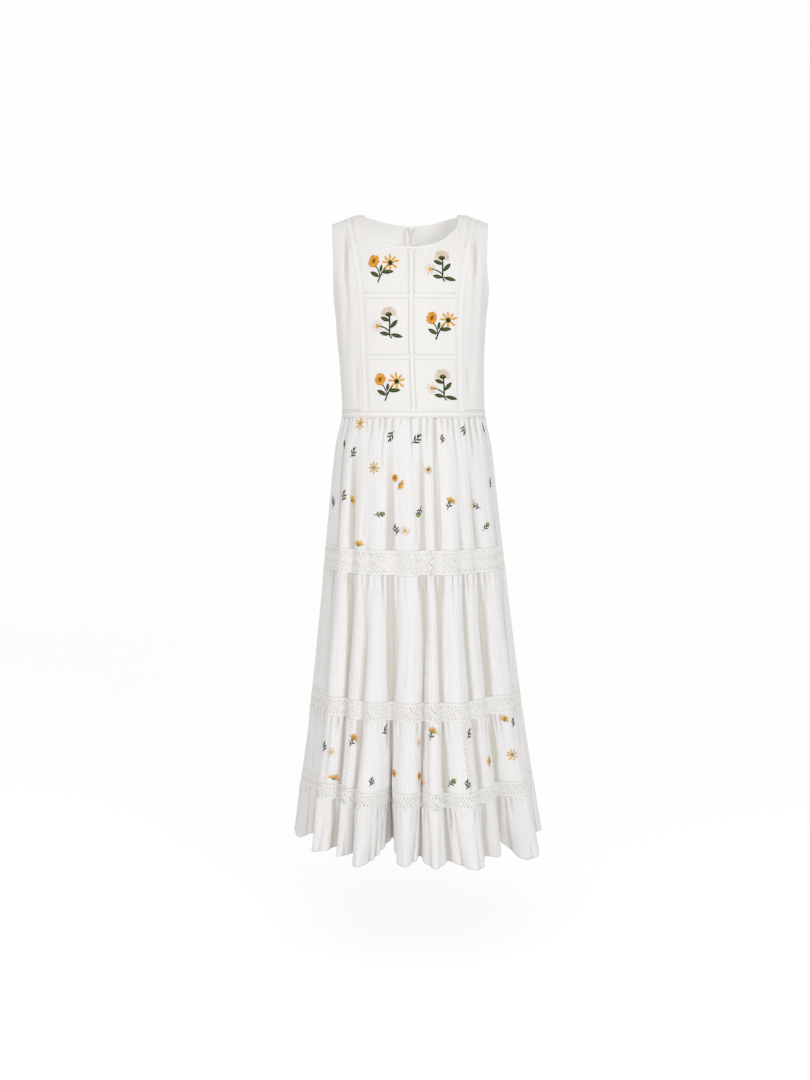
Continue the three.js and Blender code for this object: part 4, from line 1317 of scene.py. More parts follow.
    def build_trim(
        self, name: str, ground: Ground, ends: tuple[float, float], width: float, apart: float, holes: HoleRow,
        hand: int = 0,
    ) -> None:
        """An upright ladder trim.

        Args:
            name: The piece, as in the construction.
            ground: What it lies on.
            ends: Heights of its top and bottom.
            width: Of the trim.
            apart: From one row of holes to the other.
            holes: The rows' sizes.
            hand: 0 where it lies on the ground's own middle line.
        """
        top, bottom = ends
        work = FlatWork()
        middle = hand * width / 2
        line = lambda along, across: np.stack(
            [np.full_like(along, middle) + across, top - along, 0 * along], axis=1
        )
        self.ladder(work, line, top - bottom, apart, holes)
        self.sew_trim(work, ground, name, line, top - bottom, width - GAP)

    def sew_trim(
        self, work: FlatWork, ground: Ground, name: str, line: TrimLine, length: float, width: float
    ) -> None:
        tape = FlatWork()
        path = line(np.linspace(0, length, max(4, int(length / 4))), 0.0)
        tape.thread(path, (width / 2 + self.overlap) * SQUARE_CORNER, 0.3)
        tape.uvs = [points[:, :2] for points in tape.points]
        strip = tape.laid(ground, f"{name}_tape", 0.35, self.finishes.trim_tape)
        finish_piece(strip, "ladder_trim", name)
        threads = work.laid(ground, f"{name}_ladder", 0.6, self.finishes.trim)
        finish_piece(threads, "ladder_trim")

    def build_binding(self) -> None:
        """The folded strip along the neck's edge: the front's, and a half on each back."""
        first = float(self.centre_back(np.array(-self.form.neck_back)))
        start = self.form.neck_turn(Face.BACK, first, 0)
        for name, face, turns in (
            ("neck_binding_front", Face.FRONT, np.linspace(-90, 90, 121)),
            ("neck_binding_back_left", Face.BACK, np.linspace(start, 90, 61)),
            ("neck_binding_back_right", Face.BACK, np.linspace(-90, -start, 61)),
        ):
            self.build_binding_piece(name, face, turns)

    def build_binding_piece(self, name: str, face: Face, turns: Array) -> None:
        """One strip of binding, through turns that are negative on the wearer's right."""
        grown = np.linspace(0, 1, 8)
        rings = [self.form.neck(face, np.abs(turns), self.binding * part) for part in grown]
        x = np.stack([np.sign(turns) * ring[0] for ring in rings])
        z = np.stack([ring[1] for ring in rings])
        if face is Face.BACK:
            x, z = x[:, ::-1], z[:, ::-1]
        roll = 0.2 + 0.5 * np.sin(np.pi * grown) ** 0.5
        points = self.form.lay(face, x, z, np.broadcast_to(roll[:, None], x.shape))
        along = np.concatenate([[0], np.cumsum(np.linalg.norm(np.diff(points[0], axis=0), axis=1))])
        sheet = Sheet(
            points,
            np.broadcast_to(along, x.shape),
            np.broadcast_to((grown * self.binding)[:, None], x.shape),
        )
        piece = cloth_object(f"{name}_strip", sheet, 1.1, self.finishes.binding)
        finish_piece(piece, "binding", name)

    def build_eye(self) -> None:
        """The small thread loop inside the back neck, over the zip's top end."""
        part = np.linspace(-1, 1, 17)
        top, fall = -self.form.neck_back - 1.5, self.eye[1]
        path = np.stack([part * self.eye[0], top - fall * (1 - np.abs(part) ** 2.6), 0 * part], axis=1)
        work = FlatWork()
        work.thread(path, 0.6, 0.6, 6, self.eye_tone)
        loop = work.laid(BodiceGround(self.form, Face.BACK), "back_neck_eye", self.eye_lift, self.finishes.trim)
        finish_piece(loop, "binding")

    def build(self) -> None:
        """All the bodice's pieces."""
        for hand, side in ((1, "left"), (-1, "right")):
            self.build_squares(hand, side)
            self.build_side_front(hand, side)
            self.build_back(hand, side)
        self.build_trims()
        self.build_binding()
        self.build_eye()


# ---------------------------------------------------------------- the skirt


class Kind(Enum):
    """What a band of the skirt is made of."""

    TRIM = "waist_trim"
    CLOTH = "striped_cotton"
    LACE = "lace"


@dataclass(frozen=True)
class Band:
    """One band of the skirt, from its top seam to its lower one."""

    name: str
    kind: Kind
    top: float
    bottom: float
    columns: int  # across its front
    rows: int
    seed: int = 0
    pitch: tuple[float, float] = (5, 11)
    reach: tuple[float, float] = (25, 150)  # of its gathers
    depth: tuple[float, float] = (0.8, 2.6)
    long_reach: tuple[float, float] = (90, 260)  # of its long thin creases
    flare: float = 0  # depth of its pleats at its lower edge
    zip_opens: bool = False
    hem: bool = False


BANDS = (
    Band("waist_trim", Kind.TRIM, WAIST_TOP, WAIST_BOTTOM, 120, 4, zip_opens=True),
    Band("tier_1", Kind.CLOTH, -421, -688, 260, 66, 11, reach=(30, 150), depth=(0.6, 2.2), flare=2, zip_opens=True),
    Band("lace_1", Kind.LACE, -688, -736, 170, 6),
    Band("tier_2", Kind.CLOTH, -736, -990, 300, 58, 12, reach=(25, 130), flare=4),
    Band("lace_2", Kind.LACE, -990, -1026, 210, 5),
    Band("tier_3", Kind.CLOTH, -1026, -1166, 340, 38, 13, reach=(20, 110), depth=(1.1, 3.2), long_reach=(60, 150), flare=5),
    Band("lace_3", Kind.LACE, -1166, -1195, 270, 4),
    Band(
        "ruffle", Kind.CLOTH, -1195, -1300, 440, 32, 14, (5, 9), (20, 110), (1.1, 2.8), (50, 130), 9, hem=True
    ),
)


@dataclass
class Lace:
    """Lace of crossed tapes, each of a few threads, between two ribbed borders."""

    repeat: float = 21  # along the band, from one crossing to the next in its row
    threads: int = 3
    border: float = 5.5
    rib_gap: float = 1.05
    border_gap: float = 0.35
    half_height: float = 0.45
    rise: float = 0.55  # of a tape's middle, where it passes over another
    dip: float = 0.35  # of its ends, where it goes under
    sunk: float = 0.15  # the middle of the dark sheet of painted shade behind the lace lies this far behind the cloth
    bead_step: float = 4.7

    def draw(self, width: float, height: float) -> FlatWork:
        """The lace for a band.

        Args:
            width: Along the band.
            height: From its upper seam to its lower one.

        Returns:
            The threads, with up at 0 on the upper seam.
        """
        work = FlatWork()
        rib = self.border / 2
        across = np.linspace(0, width, int(width / 4))
        for down in (rib / 2, 3 * rib / 2, height - 3 * rib / 2, height - rib / 2):
            path = np.stack([across, np.full_like(across, -down), np.zeros_like(across)], axis=1)
            work.thread(path, (rib - self.border_gap) / 2 * SQUARE_CORNER, self.half_height * 0.7)
        for down in (self.border, height - self.border):
            for start in np.arange(self.bead_step, width - self.bead_step, self.bead_step):
                path = np.array([[start - 1, -down, 0.3], [start, -down, 0.5], [start + 1, -down, 0.3]])
                work.thread(path, 1.3, 0.5)
        low, high = self.border + 0.6, height - self.border - 0.6
        half, middle = self.repeat / 2, height / 2
        reach = math.ceil((high - low) / self.repeat) + 1
        for row in range(-reach, reach + 1):
            for column in range(row % 2, int(width / half) + 2, 2):
                self.cell(work, (column * half, middle + row * half), 1 if column % 2 else -1, (low, high), width)
        return work

    def cell(
        self, work: FlatWork, middle: tuple[float, float], slope: int, rows: tuple[float, float], width: float
    ) -> None:
        """The stretch of a tape that passes over another.

        Args:
            work: Where its threads go.
            middle: Of the crossing, across and down the band.
            slope: 1 if the tape falls towards the far end of the band, and -1 if it rises.
            rows: Between which it is cut off.
            width: Of the band.
        """
        length, lean = self.repeat / math.sqrt(2), math.sqrt(2)
        spread = length / self.threads
        for number in range(self.threads):
            side = (number - (self.threads - 1) / 2) * spread
            ends = sorted(slope * (lean * (row - middle[1]) - side) for row in rows)
            first = max(ends[0], -length / 2 - 0.6, slope * side - lean * middle[0])
            last = min(ends[1], length / 2 + 0.6, slope * side + lean * (width - middle[0]))
            if last - first < 1:
                continue
            run = np.linspace(first, last, 5)
            across = middle[0] + (run - slope * side) / lean
            down = middle[1] + (slope * run + side) / lean
            lift = (self.rise + self.dip) * np.cos(np.pi * run / (length + 1.2)) - self.dip
            path = np.stack([across, -down, lift], axis=1)
            work.thread(path, (spread - self.rib_gap) / 2 * SQUARE_CORNER, self.half_height)


@dataclass
class Skirt:
    """The waist trim, three gathered tiers, the lace between them, and the ruffle."""

    finishes: Finishes
    form: SkirtForm = field(default_factory=SkirtForm)
    lace: Lace = field(default_factory=Lace)
    overlap: float = 1.0  # of a lace or trim behind the cloth at its seams
    puckers: tuple[tuple[str, float], ...] = (("front", -168), ("front", -128), ("front", 34), ("front", 110), ("back", 95), ("back", -60))
    pucker_reach: float = 3.4
    wall: float = 0.9
    sheets: dict[str, Sheet] = field(default_factory=dict)

    def stretches(self, band: Band) -> list[tuple[str, int, int]]:
        """The pieces of a band: name, and the folds' rows where it starts and ends."""
        if band.zip_opens:
            return [
                ("front", 0, LEFT_SEAM),
                ("back_left", LEFT_SEAM, CENTRE_BACK),
                ("back_right", CENTRE_BACK, RIGHT_SEAM),
            ]
        return [("front", 0, LEFT_SEAM), ("back", LEFT_SEAM, RIGHT_SEAM)]

    def build(self) -> None:
        """Every band's pieces."""
        for band in BANDS:
            for number, (name, first, last) in enumerate(self.stretches(band)):
                columns = band.columns if last - first == LEFT_SEAM else band.columns // 2
                top = band.top - HALF_GAP
                bottom = band.bottom if band.hem else band.bottom + HALF_GAP
                if band.kind is not Kind.CLOTH:
                    top, bottom = top + self.overlap, bottom - self.overlap
                sheet = self.form.sheet(first, last, top, bottom, columns, band.rows, band.hem)
                full_name = f"{band.name}_{name}"
                if band.kind is Kind.CLOTH:
                    self.build_cloth(band, full_name, sheet, number)
                elif band.kind is Kind.LACE:
                    self.build_lace(band, full_name, sheet)
                else:
                    self.build_waist(full_name, sheet)

    def build_cloth(self, band: Band, name: str, sheet: Sheet, number: int) -> None:
        """A tier's or the ruffle's cloth, with its gathers."""
        width, length = float(sheet.across[0, -1]), band.top - band.bottom
        creases = Creases.gathered(
            band.seed * 10 + number, width, band.pitch, band.reach, band.depth
        )
        long = Creases.gathered(band.seed * 10 + number + 5, width, (18, 48), band.long_reach, (1.2, 3.2))
        long = replace(long, width=np.clip(long.width * 0.3, 2.2, 5), seam_share=0.8)
        height = creases.height(sheet.across, sheet.down) + long.height(sheet.across, sheet.down)
        sheet = sheet.raised(height + flared(band.seed * 10 + number, sheet, (16, 44), band.flare, band.hem))
        self.sheets[name] = sheet
        finish = self.finishes.ruffle if band.hem else self.finishes.tier
        piece = cloth_object(f"{name}_cloth", sheet, self.wall, finish, self.ropes(band, name, sheet))
        finish_piece(piece, "striped_cotton", name)

    def ropes(self, band: Band, name: str, sheet: Sheet) -> Array | None:
        """How strongly the puckered lines down the second and third tiers show at each point."""
        if band.name not in ("tier_2", "tier_3"):
            return None
        total = np.zeros(sheet.across.shape)
        middle = (band.top + band.bottom) / 2
        for face, x in self.puckers:
            if face in name:
                at = sheet.find(x, middle)[0]
                total += np.exp(-(((sheet.across - at) / self.pucker_reach) ** 2))
        return total

    def build_lace(self, band: Band, name: str, sheet: Sheet) -> None:
        """A lace band's threads, over a dark sheet of painted shade that shows through their openings."""
        width, height = float(sheet.across[0, -1]), float(sheet.down[-1, 0])
        behind = sheet.raised(np.full(sheet.across.shape, -self.lace.sunk))
        # The ground is a dark sheet of painted shade just behind the lace, seen through its openings.
        ground = cloth_object(f"{name}_ground", behind, 0.4, self.finishes.net)
        finish_piece(ground, "lace", name)
        threads = self.lace.draw(width, height).laid(sheet, f"{name}_threads", 0, self.finishes.lace)
        finish_piece(threads, "lace")

    def build_waist(self, name: str, sheet: Sheet) -> None:
        """The waist trim: a band with a row of small holes in painted shade near each edge, and two fine cords
        between.
        """
        width, height = float(sheet.across[0, -1]), float(sheet.down[-1, 0])
        work = FlatWork()

        def line(along: Array, off: float) -> Array:
            return np.stack([along, np.full_like(along, off - height / 2), np.zeros_like(along)], axis=1)

        for off in (-1, 1):
            # The holes' tone is painted shade.
            work.holes(line, width, off * (height / 2 - 3.2), HoleRow(tone=(0.7, 0.69, 0.66), swing=0.3, width=0.9))
            path = line(np.linspace(0, width, int(width / 3.5)), off * (height / 2 - 5))
            work.thread(path, 0.7, 0.35)
        sheet = sheet.raised(np.full(sheet.across.shape, 0.8))
        band = cloth_object(f"{name}_band", sheet, 0.6, self.finishes.binding)
        finish_piece(band, "waist_trim", name)
        cords = work.laid(sheet, f"{name}_cords", 0.5, self.finishes.trim)
        finish_piece(cords, "waist_trim")


# ---------------------------------------------------------------- the embroidery


class Dye(Enum):
    """Colours of the embroidery thread, in linear light."""

    ORANGE = (0.93, 0.37, 0.02)
    GOLD = (1.0, 0.53, 0.07)
    RUST = (0.52, 0.15, 0.02)
    BROWN = (0.25, 0.09, 0.012)
    MOSS = (0.028, 0.05, 0.012)
    FERN = (0.1, 0.17, 0.03)
    OLIVE = (0.066, 0.072, 0.036)
    SAGE = (0.36, 0.42, 0.2)
    LIME = (0.3, 0.42, 0.12)
    PEACH = (0.97, 0.86, 0.71)
    BLUSH = (0.92, 0.73, 0.6)


@dataclass(frozen=True)
class Spot:
    """Where a motif's middle lies on its ground, how far it turns to the left, and its size."""

    across: float
    up: float
    turn: float = 0  # degrees
    size: float = 1

    def point(self, x: float, y: float) -> tuple[float, float]:
        """A point of the motif on its ground."""
        cosine, sine = math.cos(math.radians(self.turn)), math.sin(math.radians(self.turn))
        return (
            self.across + self.size * (x * cosine - y * sine),
            self.up + self.size * (x * sine + y * cosine),
        )


class Shapes:
    """The satin-stitched shapes that the motifs repeat, each modelled once."""

    def __init__(self) -> None:
        """Models a petal, a pointed leaf and a round knot."""
        self.petal = self.dome(8, 6, pointed=0.12, base=0.6)
        self.leaf = self.dome(8, 8, pointed=0.45, base=1)
        self.knot = self.dome(14, 8, pointed=0, base=1)

    def dome(self, sides: int, rings: int, pointed: float, base: float) -> Template:
        """A low dome, 1 long from its base upwards and 1 wide.

        Args:
            sides: Round its length.
            rings: Along its length.
            pointed: How far its two ends draw in.
            base: Its width near its base, as a share of its width near its tip.

        Returns:
            The shape, cut off a little below the cloth's face.
        """
        bpy.ops.object.select_all(action="DESELECT")
        bpy.ops.mesh.primitive_uv_sphere_add(segments=sides, ring_count=rings, radius=0.5)
        made = bpy.context.object
        bpy.ops.object.mode_set(mode="EDIT")
        bpy.ops.mesh.select_all(action="SELECT")
        bpy.ops.transform.rotate(value=math.pi / 2, orient_axis="X", center_override=(0, 0, 0))
        bpy.ops.transform.translate(value=(0, 0.5, 0))
        bpy.ops.mesh.bisect(plane_co=(0, 0, -0.2), plane_no=(0, 0, 1), clear_inner=True)
        bpy.ops.object.mode_set(mode="OBJECT")
        mesh = made.data
        points = np.array([vertex.co for vertex in mesh.vertices])
        faces = [list(polygon.vertices) for polygon in mesh.polygons]
        bpy.data.objects.remove(made)
        along = np.clip(points[:, 1], 0, 1)
        points[:, 0] *= np.maximum(4 * along * (1 - along), 1e-3) ** pointed * (base + (1 - base) * along)
        return Template(points, faces)


@dataclass
class Needle:
    """Works motifs of petals, leaves, knots and stems into stitch work. Lengths in millimetres."""

    shapes: Shapes
    random: np.random.Generator
    work: FlatWork = field(default_factory=FlatWork)
    height: float = 1.5
    uneven: float = 0.16  # of tone from stitch to stitch

    def stitch(
        self,
        spot: Spot,
        shape: Template,
        at: tuple[float, float],
        turn: float,
        size: tuple[float, float],
        dye: Dye,
        level: float = 0,
    ) -> None:
        """One shape.

        Args:
            spot: The motif's place.
            shape: What is stitched.
            at: Its base in the motif.
            turn: Degrees from upright, towards the left.
            size: Its width and length.
            dye: Its colour.
            level: How far it is raised, over what lies under it.
        """
        tone = 1 + self.uneven * (self.random.random() - 0.5)
        colour = tuple(min(1.0, part * tone) for part in dye.value)
        width, length = size[0] * spot.size, size[1] * spot.size
        height = self.height * self.random.uniform(0.85, 1.15)
        self.work.place(shape, spot.point(*at), spot.turn + turn, (width, length, height), colour, level)

    def knot(
        self, spot: Spot, at: tuple[float, float], size: tuple[float, float], dye: Dye, turn: float = 0, level: float = 0.6
    ) -> None:
        """A round or oval knot about its middle."""
        lean = math.radians(turn)
        base = (at[0] + size[1] / 2 * math.sin(lean), at[1] - size[1] / 2 * math.cos(lean))
        self.stitch(spot, self.shapes.knot, base, turn, size, dye, level)

    def stem(self, spot: Spot, points: Sequence[tuple[float, float]], width: float, dye: Dye) -> None:
        """A stem along a smooth curve from the first point to the last, drawn to those between."""
        control = np.array([spot.point(*point) for point in points])
        part = np.linspace(0, 1, 9)[:, None]
        if len(control) == 2:
            path = control[0] * (1 - part) + control[1] * part
        else:
            path = control[0] * (1 - part) ** 2 + 2 * control[1] * part * (1 - part) + control[2] * part**2
        path = np.hstack([path, np.zeros((len(path), 1))])
        self.work.thread(path, width / 2, 0.6, 6, dye.value)

    def leaf(
        self,
        spot: Spot,
        at: tuple[float, float],
        turn: float,
        size: tuple[float, float],
        dyes: tuple[Dye, Dye] = (Dye.MOSS, Dye.FERN),
    ) -> None:
        """A leaf with a lighter vein of stitches along it."""
        self.stitch(spot, self.shapes.leaf, at, turn, size, dyes[0])
        lean = math.radians(turn)
        start = (at[0] - 0.16 * size[1] * math.sin(lean), at[1] + 0.16 * size[1] * math.cos(lean))
        self.stitch(spot, self.shapes.leaf, start, turn, (size[0] * 0.46, size[1] * 0.7), dyes[1], 0.45)

    def petals(
        self,
        spot: Spot,
        at: tuple[float, float],
        ring: tuple[float, float],
        turns: Sequence[float],
        width: float,
        dye: Dye,
        squash: tuple[float, float, float] = (1, 1, 0),
        level: float = 0,
    ) -> None:
        """Petals round a middle.

        Args:
            spot: The motif's place.
            at: Their middle.
            ring: Distances of their bases and tips from it.
            turns: Where each points, in degrees to the left of upright.
            width: Of a petal.
            dye: Their colour.
            squash: Shares of the ring's width and height, and how far it leans.
            level: How far they are raised.
        """
        wide, tall, lean = squash
        spin = math.radians(lean)
        for turn in turns:
            reach = ring[1] * self.random.uniform(0.92, 1.08)
            ends = []
            for distance in (ring[0], reach):
                x = -distance * math.sin(math.radians(turn)) * wide
                y = distance * math.cos(math.radians(turn)) * tall
                ends.append((x * math.cos(spin) - y * math.sin(spin), x * math.sin(spin) + y * math.cos(spin)))
            step = (ends[1][0] - ends[0][0], ends[1][1] - ends[0][1])
            facing = math.degrees(math.atan2(-step[0], step[1]))
            base = (at[0] + ends[0][0], at[1] + ends[0][1])
            self.stitch(spot, self.shapes.petal, base, facing, (width, math.hypot(*step)), dye, level)

    def daisy(self, spot: Spot, at: tuple[float, float], radius: float, count: int, dyes: tuple[Dye, Dye]) -> None:
        """An open daisy with narrow petals."""
        turns = [360 * number / count + self.random.uniform(-7, 7) for number in range(count)]
        self.petals(spot, at, (0.2 * radius, radius), turns, 0.32 * radius, dyes[0])
        self.knot(spot, at, (0.55 * radius, 0.5 * radius), dyes[1])

    def pale_daisy(self, spot: Spot, at: tuple[float, float], radius: float) -> None:
        """A daisy of single pale stitches round a small gold middle."""
        turns = [360 * number / 11 + self.random.uniform(-9, 9) for number in range(11)]
        self.petals(spot, at, (0.3 * radius, radius), turns, 1.7, Dye.BLUSH)
        self.knot(spot, at, (0.62 * radius, 0.5 * radius), Dye.GOLD, turn=-70)

    def marigold(self, spot: Spot, at: tuple[float, float], radius: float, lean: float) -> None:
        """A full round flower with a long brown middle that leans."""
        squash = (0.86, 1.06, lean)
        for layer, (count, ring, width, dye) in enumerate(
            (
                (20, (0.45, 1.0), 0.34, Dye.ORANGE),
                (15, (0.3, 0.84), 0.3, Dye.GOLD),
                (11, (0.14, 0.52), 0.24, Dye.ORANGE),
            )
        ):
            turns = [360 * number / count + self.random.uniform(-5, 5) for number in range(count)]
            reach = (ring[0] * radius, ring[1] * radius)
            self.petals(spot, at, reach, turns, width * radius, dye, squash, 0.35 * layer)
        self.knot(spot, at, (0.5 * radius, 0.95 * radius), Dye.RUST, lean, 0.9)
        self.knot(spot, at, (0.26 * radius, 0.78 * radius), Dye.BROWN, lean, 1.3)

    def tuft(self, spot: Spot, at: tuple[float, float], radius: float) -> None:
        """A pale half-round tuft of loose stitches over a dark green cup."""
        for count, ring, width in ((26, (0.2, 0.78), 1.7), (32, (0.45, 1.0), 1.0)):
            turns = [-112 + 224 * (number + self.random.random()) / count for number in range(count)]
            self.petals(spot, at, (ring[0] * radius, ring[1] * radius), turns, width, Dye.PEACH)
        turns = [-96 + 192 * (number + self.random.random()) / 12 for number in range(12)]
        self.petals(spot, at, (0.6 * radius, 0.96 * radius), turns, 0.8, Dye.BLUSH)
        self.knot(spot, at, (0.8 * radius, 0.5 * radius), Dye.MOSS, 0, 0.8)
        self.knot(spot, (at[0], at[1] + 0.06 * radius), (0.5 * radius, 0.22 * radius), Dye.FERN, 0, 1.3)

    def pair(self, spot: Spot) -> None:
        """A marigold and an open daisy on one forked stem."""
        self.stem(spot, ((15, 9), (-1, -3), (-10, -29)), 2.6, Dye.MOSS)
        self.stem(spot, ((-15, 4), (-7, -4), (-6, -17)), 2.0, Dye.MOSS)
        self.leaf(spot, (-7, -18), 60, (8.5, 21))
        self.leaf(spot, (-3, -9), -86, (8.5, 25))
        self.leaf(spot, (-5, -9), -10, (6, 16))
        self.marigold(spot, (-18, 14), 12.5, -22)
        turns = (4, -38, -74, -128, 178, 132, 82, 42)
        self.petals(spot, (15, 10), (3, 18), turns, 5.6, Dye.GOLD)
        self.knot(spot, (15, 10), (10.5, 9), Dye.MOSS, turn=-60)

    def tall(self, spot: Spot) -> None:
        """A tufted flower on a tall stem, with a small pale daisy on a side stem."""
        self.tuft(spot, (1, 17), 16.5)
        self.stem(spot, ((2, 17), (4, -6), (2, -22)), 2.8, Dye.MOSS)
        self.stem(spot, ((2, -20), (3, -26), (7, -30)), 2.6, Dye.MOSS)
        self.stem(spot, ((-19, -6), (-9, -6), (2, -16)), 2.4, Dye.MOSS)
        self.leaf(spot, (3, 4), 68, (8.2, 20))
        self.leaf(spot, (4, -10), -42, (8.4, 22))
        self.leaf(spot, (3, -23), 78, (8, 21))
        self.leaf(spot, (4, -22), -103, (8, 26))
        self.pale_daisy(spot, (-22, -6), 13)

    def sprig(self, spot: Spot, leaves: int = 5) -> None:
        """A short stem with narrow leaves on both sides."""
        spot = replace(spot, size=self.random.uniform(0.8, 1.3) * spot.size)
        self.stem(spot, ((0, -8), (1.5, -1), (0, 6)), 1.3, Dye.OLIVE)
        self.stitch(spot, self.shapes.leaf, (0, 4.5), 4, (2.2, 7), Dye.OLIVE)
        for number in range(leaves - 1):
            side = 1 if number % 2 else -1
            at = (0.6, -5 + 2.7 * number)
            self.stitch(spot, self.shapes.leaf, at, side * 42, (2.5, 9.5 - number), Dye.OLIVE)

    def bud(self, spot: Spot) -> None:
        """A sprig that ends in a green bud."""
        self.stem(spot, ((0, -11), (1, -4), (0, 3)), 1.3, Dye.OLIVE)
        for turn, up in ((48, -6), (-50, -4.5), (42, -1.5), (-40, 0)):
            self.stitch(spot, self.shapes.leaf, (0.3, up), turn, (2.3, 7), Dye.OLIVE)
        self.knot(spot, (0, 5.5), (7, 6.5), Dye.LIME)
        self.knot(spot, (0.5, 4), (4.5, 3), Dye.SAGE)

    def bloom(self, spot: Spot, petal: Dye = Dye.GOLD) -> None:
        """A half-open bloom on a leafy stem."""
        self.stem(spot, ((0, -14), (1.5, -7), (0, 0)), 1.3, Dye.OLIVE)
        for turn, up in ((50, -10), (-48, -8), (45, -5)):
            self.stitch(spot, self.shapes.leaf, (0.6, up), turn, (2.4, 7.5), Dye.OLIVE)
        self.crown(spot, petal)

    def crown(self, spot: Spot, petal: Dye = Dye.GOLD) -> None:
        """A half-open bloom by itself."""
        turns = [-78 + 26 * number + self.random.uniform(-5, 5) for number in range(7)]
        self.petals(spot, (0, 0), (2, 10), turns, 3.1, petal)
        self.petals(spot, (0, 0), (1.5, 6.5), turns[1:-1], 2.4, Dye.ORANGE if petal is Dye.GOLD else petal)
        self.knot(spot, (0, 1), (6.5, 4.5), Dye.SAGE)

    def small_daisy(self, spot: Spot) -> None:
        """An open orange daisy by itself."""
        self.daisy(spot, (0, 0), 11, 8, (Dye.GOLD, Dye.SAGE))

    def small_pale(self, spot: Spot) -> None:
        """A pale daisy by itself."""
        self.pale_daisy(spot, (0, 0), 8.5)

    def small_marigold(self, spot: Spot) -> None:
        """A marigold by itself."""
        self.marigold(spot, (0, 0), 6.5, 0)

    def peach_bloom(self, spot: Spot) -> None:
        """A pale round bloom with a rust middle."""
        turns = [24 * number for number in range(15)]
        self.petals(spot, (0, 0), (1.5, 7.5), turns, 2.8, Dye.PEACH)
        self.knot(spot, (0, 0.5), (4.6, 6), Dye.RUST, turn=-25)
        self.knot(spot, (0, 0.5), (2.8, 4.2), Dye.ORANGE, turn=-25)


Motif = Callable[[Needle, Spot], None]


def pale_crown(needle: Needle, spot: Spot) -> None:
    """A half-open bloom in peach on a leafy stem."""
    needle.bloom(spot, Dye.PEACH)


# What is worked on each square, from the top, and how far each motif's middle lies from the centre line.
SQUARE_MOTIFS: dict[str, tuple[tuple[Motif, float, float], ...]] = {
    "right": ((Needle.pair, -57, -128), (Needle.tall, -46, -238), (Needle.pair, -47, -364)),
    "left": ((Needle.tall, 60, -125), (Needle.pair, 59, -242), (Needle.tall, 60, -362)),
}

# The scattered motifs: kind, x, z and turn to the left.
TIER_1_SCATTER: tuple[tuple[Motif, float, float, float], ...] = (
    (Needle.small_daisy, -103, -434, 8),
    (Needle.sprig, -137, -478, 20),
    (Needle.sprig, -120, -492, -35),
    (Needle.sprig, -39, -459, 150),
    (Needle.sprig, 9, -465, -50),
    (Needle.sprig, 62, -464, -12),
    (Needle.sprig, 107, -447, 165),
    (Needle.sprig, 151, -448, 10),
    (Needle.small_daisy, -75, -524, 0),
    (Needle.small_marigold, -33, -543, 0),
    (Needle.crown, -24, -555, -125),
    (Needle.peach_bloom, 34, -528, -10),
    (Needle.sprig, 163, -560, -35),
    (Needle.sprig, -139, -584, -25),
    (Needle.crown, -121, -591, -60),
    (Needle.sprig, -162, -600, 5),
    (Needle.bloom, 78, -591, -28),
    (pale_crown, 128, -597, 62),
    (Needle.bud, -64, -616, -85),
    (Needle.bud, 15, -613, 155),
    (Needle.bud, 153, -644, -50),
    (Needle.sprig, -31, -646, 5),
    (Needle.small_pale, -13, -648, 0),
    (Needle.crown, -107, -680, 0),
)
TIER_3_SCATTER: tuple[tuple[Motif, float, float, float], ...] = (
    (Needle.crown, 190, -1042, -20),
    (Needle.sprig, 209, -1050, -20),
    (Needle.sprig, -52, -1044, -55),
    (Needle.bloom, 42, -1046, -22),
    (Needle.sprig, 114, -1053, -45),
    (Needle.bloom, -116, -1066, -28),
    (Needle.small_pale, 15, -1066, 0),
    (Needle.sprig, -178, -1092, -10),
    (Needle.small_pale, -165, -1098, 30),
    (Needle.small_daisy, 208, -1112, 10),
    (Needle.crown, 160, -1116, 80),
    (Needle.small_marigold, 15, -1131, 10),
    (Needle.small_marigold, -34, -1130, 15),
    (Needle.sprig, -80, -1142, -15),
    (Needle.bud, 81, -1144, -50),
    (Needle.crown, -157, -1154, -20),
    (Needle.small_pale, 24, -1148, 15),
    (Needle.sprig, 112, -1148, -15),
)


